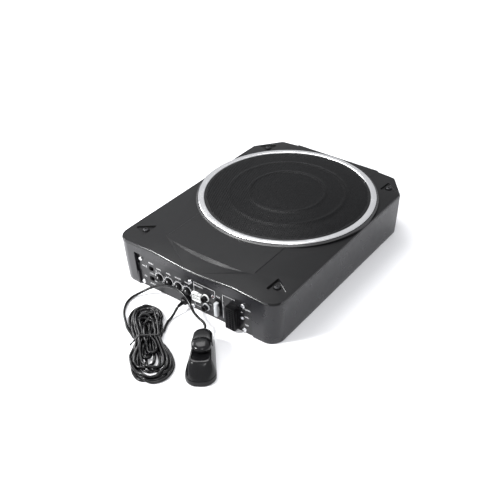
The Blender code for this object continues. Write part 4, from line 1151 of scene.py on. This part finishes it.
def make_controls():
    for name, (x, z) in KNOBS.items():
        make_knob(name, x, z)
    for name, z in (("input", 31.8), ("power_mode", 16.0)):
        ridges = [((-75.4, -164.0, z - 2.6), (-72.4, -159.5, z + 2.6))]
        ridges += [((-75.2 + 0.95 * k, -164.35, z - 2.3), (-74.8 + 0.95 * k, -163.6, z + 2.3)) for k in range(3)]
        boxes(f"{name}_thumb", ridges, "plastic", 0.12, body=f"{name}_switch", replaces=(f"{name}_slider",),
              slot="black_plastic")


def make_sockets():
    x, z = 3.6, 21.8
    rows = [(-6.6, 7.0, -166.5, -156.5, 5.2, 6.4), (-6.6, 7.0, -166.5, -156.5, -5.2, -4.2),
            (-6.6, -5.6, -166.5, -156.5, -4.4, 5.4), (5.9, 7.0, -166.5, -156.5, -4.4, 5.4),
            (-6.2, 6.2, -163.4, -158.4, -4.6, 5.6), (-6.2, 6.2, -165.8, -158.6, 0.15, 0.95)]
    blocks = blocks_at(x, z, rows)
    blocks += [((x - 3.1 + 3.3 * k - 0.4, -165.8, z - 4.6), (x - 3.1 + 3.3 * k + 0.4, -158.6, z + 5.6))
               for k in range(3)]
    blocks += blocks_at(x, z, [(-2.4, 2.4, -167.4, -157.0, 6.2, 7.4)])
    boxes("speaker_inlet", blocks, "white", 0.15, replaces=("speaker_level_socket",), slot="white_plastic")
    pins = []
    for col in range(4):
        for row in (-1, 1):
            cx, cz = x - 4.8 + 3.3 * col, z + 0.5 + 2.5 * row
            pins.append(((cx - 0.5, -164.6, cz - 0.5), (cx + 0.5, -158.6, cz + 0.5)))
    boxes("speaker_inlet_pins", pins, "dark_steel", 0.1, slot="screw_steel")
    for name, z, tint in (("upper", 26.4, "white"), ("lower", 12.4, "clear")):
        place = (17.3 * MM, (PANEL_Y - 0.1) * MM, z * MM)
        lathe(f"phono_{name}_ring", [(4.1, 0.0), (5.2, 0.0), (5.2, 1.0), (4.9, 1.4), (4.1, 1.4)], tint, 40, place,
              FACE_FRONT, replaces=(f"rca_jack_{name}",), slot="white_plastic")
        lathe(f"phono_{name}_barrel", [(3.4, -2.0), (3.9, -2.0), (4.0, 5.6), (3.8, 6.0), (3.4, 6.0)], "dark_steel", 40,
              place, FACE_FRONT, slot="screw_steel")
        lathe(f"phono_{name}_core", [(0.0, -2.0), (3.45, -2.0), (3.45, 5.2), (1.7, 5.2), (1.7, 0.0), (0.0, 0.0)],
              "black_and_painted_shade", 32, place, FACE_FRONT, slot="black_plastic")
    x, z = -13.5, 10.8
    boxes("remote_socket", blocks_at(x, z, [
        (-4.9, 4.9, -164.2, -154.0, 3.5, 4.6), (-4.9, 4.9, -164.2, -154.0, -4.6, -3.5),
        (-4.9, -3.8, -164.2, -154.0, -3.6, 3.6), (3.8, 4.9, -164.2, -154.0, -3.6, 3.6)]),
          "plastic", 0.15, replaces=("remote_jack",), slot="black_plastic")


def make_power_side():
    x, z = 36.5, 20.0
    boxes("fuse_seat", blocks_at(x, z, [
        (-3.9, 3.9, -165.0, -152.0, 10.3, 11.5), (-3.9, 3.9, -165.0, -152.0, -11.5, -10.3),
        (-3.9, -2.7, -165.0, -152.0, -10.5, 10.5), (2.7, 3.9, -165.0, -152.0, -10.5, 10.5)]),
          "plastic", 0.2, replaces=("fuse_holder",), slot="black_plastic")
    boxes("fuse_body", blocks_at(x, z, [(-2.3, 2.3, -169.6, -157.0, -9.8, 9.8),
                                        (-1.5, 1.5, -170.1, -168.9, -4.2, 4.2)]),
          "clear", 0.5, replaces=("blade_fuse",), slot="fuse_body")
    boxes("fuse_blades", blocks_at(x, z, [(-2.35, 2.35, -166.8, -160.0, 4.2, 8.4),
                                          (-2.35, 2.35, -166.8, -160.0, -8.4, -4.2)]),
          "aluminium", 0.1, slot="fuse_body")
    x, z = 61.0, 20.5
    blocks = [((x - 7.0, -167.6, z - 16.0), (x + 7.0, -153.0, z + 16.0))]
    for k in range(11):
        rib = z - 15.5 + 3.1 * k
        blocks.append(((x - 7.0, -173.0, rib - 0.5), (x + 7.0, -167.4, rib + 0.5)))
    for k in range(4):
        wall = x - 6.5 + 13.0 / 3 * k
        blocks.append(((wall - 0.5, -172.6, z - 16.0), (wall + 0.5, -167.4, z + 16.0)))
    boxes("power_block", blocks, "plastic", 0.25, replaces=("power_socket",), slot="black_plastic")
    for name, (px, pz), tint in (("power", (72.8, 21.5), "lens_pale"), ("protect", (28.8, 33.5), "lens_dark")):
        place = (px * MM, PANEL_Y * MM, pz * MM)
        lathe(f"{name}_lens", [(0.0, -2.0), (1.6, -2.0), (1.6, 0.5), (1.4, 1.1), (0.8, 1.6), (0.0, 1.75)], tint, 24,
              place, FACE_FRONT, replaces=(f"{name}_led",), slot="led_blue" if name == "power" else "led_red")
        lathe(f"{name}_bezel", [(1.7, 0.0), (2.5, 0.0), (2.4, 0.5), (1.7, 0.5)], "steel", 24, place, FACE_FRONT,
              slot="screw_steel")


make_panel()
make_controls()
make_sockets()
make_power_side()


# ---------------------------------------------------------------- remote

REMOTE = Matrix.Translation(Vector((89.7, -263.8, 0)) * MM) @ Matrix.Rotation(math.radians(35.45), 4, "Z")


def level_loop(height, near, far, half, far_share, corner, steps=10):
    far_half = half * far_share
    out = []
    for k in range(steps + 1):
        angle = math.radians(-90 + 90 * k / steps)
        out.append((half - corner + corner * math.cos(angle), near + corner + corner * math.sin(angle)))
    for k in range(2 * steps + 1):
        angle = math.pi * k / (2 * steps)
        out.append((far_half * math.cos(angle), far - far_half + far_half * math.sin(angle)))
    for k in range(steps + 1):
        angle = math.radians(180 + 90 * k / steps)
        out.append((-half + corner + corner * math.cos(angle), near + corner + corner * math.sin(angle)))
    return [(x, y, height) for x, y in out]


def loft(build, loops):
    rings = [[build.verts.new(Vector(p) * MM) for p in loop] for loop in loops]
    skin(build, rings)
    build.faces.new(rings[0])
    build.faces.new(rings[-1])


def place_remote(build):
    bmesh.ops.transform(build, matrix=REMOTE, verts=build.verts)


def make_remote():
    base = bmesh.new()
    loft(base, [level_loop(*row) for row in (
        (0.0, 1.6, 76.4, 16.4, 0.72, 14), (0.3, 0.7, 77.3, 17.4, 0.72, 15),
        (1.2, 0.15, 77.9, 18.0, 0.72, 15.5), (2.4, 0.05, 78.0, 18.1, 0.72, 15.5),
        (5.6, 0.9, 78.0, 18.0, 0.72, 15.5), (6.5, 1.2, 77.9, 17.9, 0.72, 15.5),
        (6.7, 1.6, 77.5, 17.5, 0.72, 15.2))])
    place_remote(base)
    finish_piece("handset_base", data_from(base, "base"), "gloss", replaces=("remote_base",), slot="remote_gloss",
                 smooth=40)
    shell = bmesh.new()
    loft(shell, [level_loop(*row) for row in (
        (6.9, 1.7, 77.5, 17.5, 0.72, 15.2), (7.3, 1.4, 77.9, 17.8, 0.72, 15.5),
        (10.0, 2.6, 77.7, 17.25, 0.72, 14.9), (13.0, 4.2, 77.2, 16.5, 0.72, 14.0),
        (16.0, 6.4, 76.3, 15.6, 0.73, 12.8), (19.0, 8.8, 74.6, 14.4, 0.75, 11.2),
        (21.5, 11.2, 72.4, 13.2, 0.77, 9.4), (23.2, 13.2, 70.4, 12.4, 0.80, 7.6),
        (24.0, 14.6, 69.0, 11.7, 0.83, 6.2), (24.3, 15.8, 68.0, 11.0, 0.85, 5.0))])
    shell_object = place_object(data_from(shell, "handset_shell"))
    hood = bmesh.new()
    loft(hood, [level_loop(*row) for row in (
        (20.0, 43.0, 73.5, 12.8, 0.90, 4), (23.0, 43.3, 72.2, 12.6, 0.90, 4),
        (25.6, 44.0, 69.6, 12.0, 0.92, 4), (27.2, 44.8, 67.0, 11.3, 0.92, 4),
        (28.1, 45.6, 65.0, 10.6, 0.92, 4), (28.5, 46.6, 63.0, 9.8, 0.92, 4))])
    boolean(shell_object, [place_object(data_from(hood, "hood"))], "UNION")
    well = place_object(lathe_data("well", [(0, 24.45), (11.9, 24.45), (12.2, 24.8), (12.4, 40), (0, 40)], 64,
                                (0, 39.5 * MM, 0)))
    apron = bmesh.new()
    bow = [math.pi * k / 16 for k in range(17)]
    scoop = [(-10.4, 34.0)] + [(-10.4 * math.cos(a), 24.5 - 7.5 * math.sin(a) ** 0.6) for a in bow] + [(10.4, 34.0)]
    loft(apron, [[(x * grow, 28 + (y - 28) * grow, z) for x, y in scoop]
                 for grow, z in ((0.88, 22.6), (0.93, 22.9), (1.04, 24.6), (1.3, 31.0))])
    boolean(shell_object, [well, place_object(data_from(apron, "apron"))], "DIFFERENCE")
    data = drop_object(shell_object)
    data.transform(REMOTE)
    finish_piece("handset_shell", data, "gloss", replaces=("remote_shell",), slot="remote_gloss", smooth=28)
    centre = REMOTE @ Vector((0, 39.5 * MM, 24.7 * MM))
    build = bmesh.new()
    segments = 72
    profile = [(3.0, -1.0), (10.6, 0.0), (11.3, 0.2), (11.5, 0.7), (11.45, 2.6), (11.1, 3.9), (10.3, 5.0), (8.6, 6.0),
               (6.0, 6.6), (3.0, 6.9)]
    rings = []
    for radius, z in profile:
        ring = []
        for k in range(segments):
            flute = 0.28 if k % 3 == 0 and 10.9 < radius else 0.0
            angle = 2 * math.pi * k / segments
            out = radius - flute
            ring.append(build.verts.new((out * math.cos(angle) * MM, out * math.sin(angle) * MM, z * MM)))
        rings.append(ring)
    skin(build, rings)
    top = build.verts.new((0, 0, 7.0 * MM))
    for k in range(segments):
        build.faces.new((rings[-1][k], rings[-1][(k + 1) % segments], top))
    build.faces.new(rings[0])
    bmesh.ops.translate(build, vec=centre, verts=build.verts)
    finish_piece("handset_dial", data_from(build, "dial"), "gloss", body="remote_dial", replaces=("remote_knob",),
                 slot="remote_gloss", smooth=45)
    relief_turn = (REMOTE @ Matrix.Translation(Vector((0, 0, 10.0)) * MM)
                   @ Matrix.Rotation(math.radians(-90), 4, "X"))
    profile = [(0.0, 72.8), (2.4, 72.8), (2.4, 78.0), (2.85, 78.2), (2.9, 79.4)]
    for k in range(3):
        s = 80.2 + 1.3 * k
        r = 2.6 - 0.25 * k
        profile += [(r, s - 0.35), (r, s + 0.3), (r - 0.4, s + 0.4), (r - 0.4, s + 0.8)]
    profile += [(1.75, 83.7), (1.6, 83.95), (0.0, 83.95)]
    lathe("handset_relief", profile, "rubber", 32, turn=relief_turn, replaces=("remote_strain_relief",),
          slot="soft_rubber", closed=False)


make_remote()


# ---------------------------------------------------------------- what stays as the CAD made it

for node_name, material_name in {
        "woofer_gasket": "rubber", "woofer_basket": "plastic", "voice_coil_former": "copper", "woofer_spider": "cloth",
        "motor_top_plate": "steel", "ring_magnet": "ferrite", "motor_back_yoke": "steel", "amplifier_board": "board",
        "toroid_coil": "copper", "filter_capacitor_left": "gloss", "filter_capacitor_right": "gloss",
        "transistor_clamp": "aluminium", "slide_switch_block": "plastic", "remote_potentiometer": "aluminium",
        "gain_potentiometer": "board", "crossover_potentiometer": "board", "boost_potentiometer": "board",
        "phase_potentiometer": "board", "cord_plug": "plastic"}.items():
    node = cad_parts[node_name]
    node.data.materials.clear()
    node.data.materials.append(M[material_name])


# ---------------------------------------------------------------- floor, world and lights


def make_floor():
    build = bmesh.new()
    bmesh.ops.create_grid(build, x_segments=2, y_segments=2, size=6.0)
    data = data_from(build, "floor")
    made = place_object(data)
    made.location = (0, 0, -0.00005)
    floor = Shader("floor", (0.93, 0.93, 0.945), 0.6, spec=0.15)
    data.materials.append(floor.material)


def area_light(name, place, target, size, energy, colour=(1, 1, 1)):
    data = bpy.data.lights.new(name, "AREA")
    data.shape = "RECTANGLE"
    data.size, data.size_y = size
    data.energy = energy
    data.color = colour
    made = bpy.data.objects.new(name, data)
    made.location = place
    made.rotation_euler = (Vector(target) - Vector(place)).to_track_quat("-Z", "Y").to_euler()
    bpy.context.scene.collection.objects.link(made)
    return made


def make_lights():
    world = bpy.data.worlds.new("studio")
    world.use_nodes = True
    background = world.node_tree.nodes["Background"]
    background.inputs["Color"].default_value = (0.97, 0.98, 1.0, 1.0)
    background.inputs["Strength"].default_value = 0.90
    bpy.context.scene.world = world
    area_light("key", (-0.55, 0.35, 1.25), (0.0, -0.1, 0.0), (0.7, 0.7), 11.0)
    area_light("left_panel", (-1.05, -0.12, 0.42), (0.0, -0.1, 0.05), (0.5, 0.36), 7.0)
    area_light("over_camera", (0.56, -0.62, 1.05), (0.05, 0.0, 0.05), (0.34, 0.34), 3.4)
    data = bpy.data.lights.new("snoot", "SPOT")
    data.energy = 330.0
    data.spot_size = math.radians(20)
    data.spot_blend = 1.0
    data.shadow_soft_size = 0.26
    made = bpy.data.objects.new("snoot", data)
    made.location = (-0.68, -0.95, 0.95)
    made.rotation_euler = (Vector((-0.10, -0.21, 0.02)) - made.location).to_track_quat("-Z", "Y").to_euler()
    bpy.context.scene.collection.objects.link(made)


make_floor()
make_lights()
bpy.context.scene.view_settings.view_transform = "Standard"
bpy.context.scene.view_settings.look = "None"
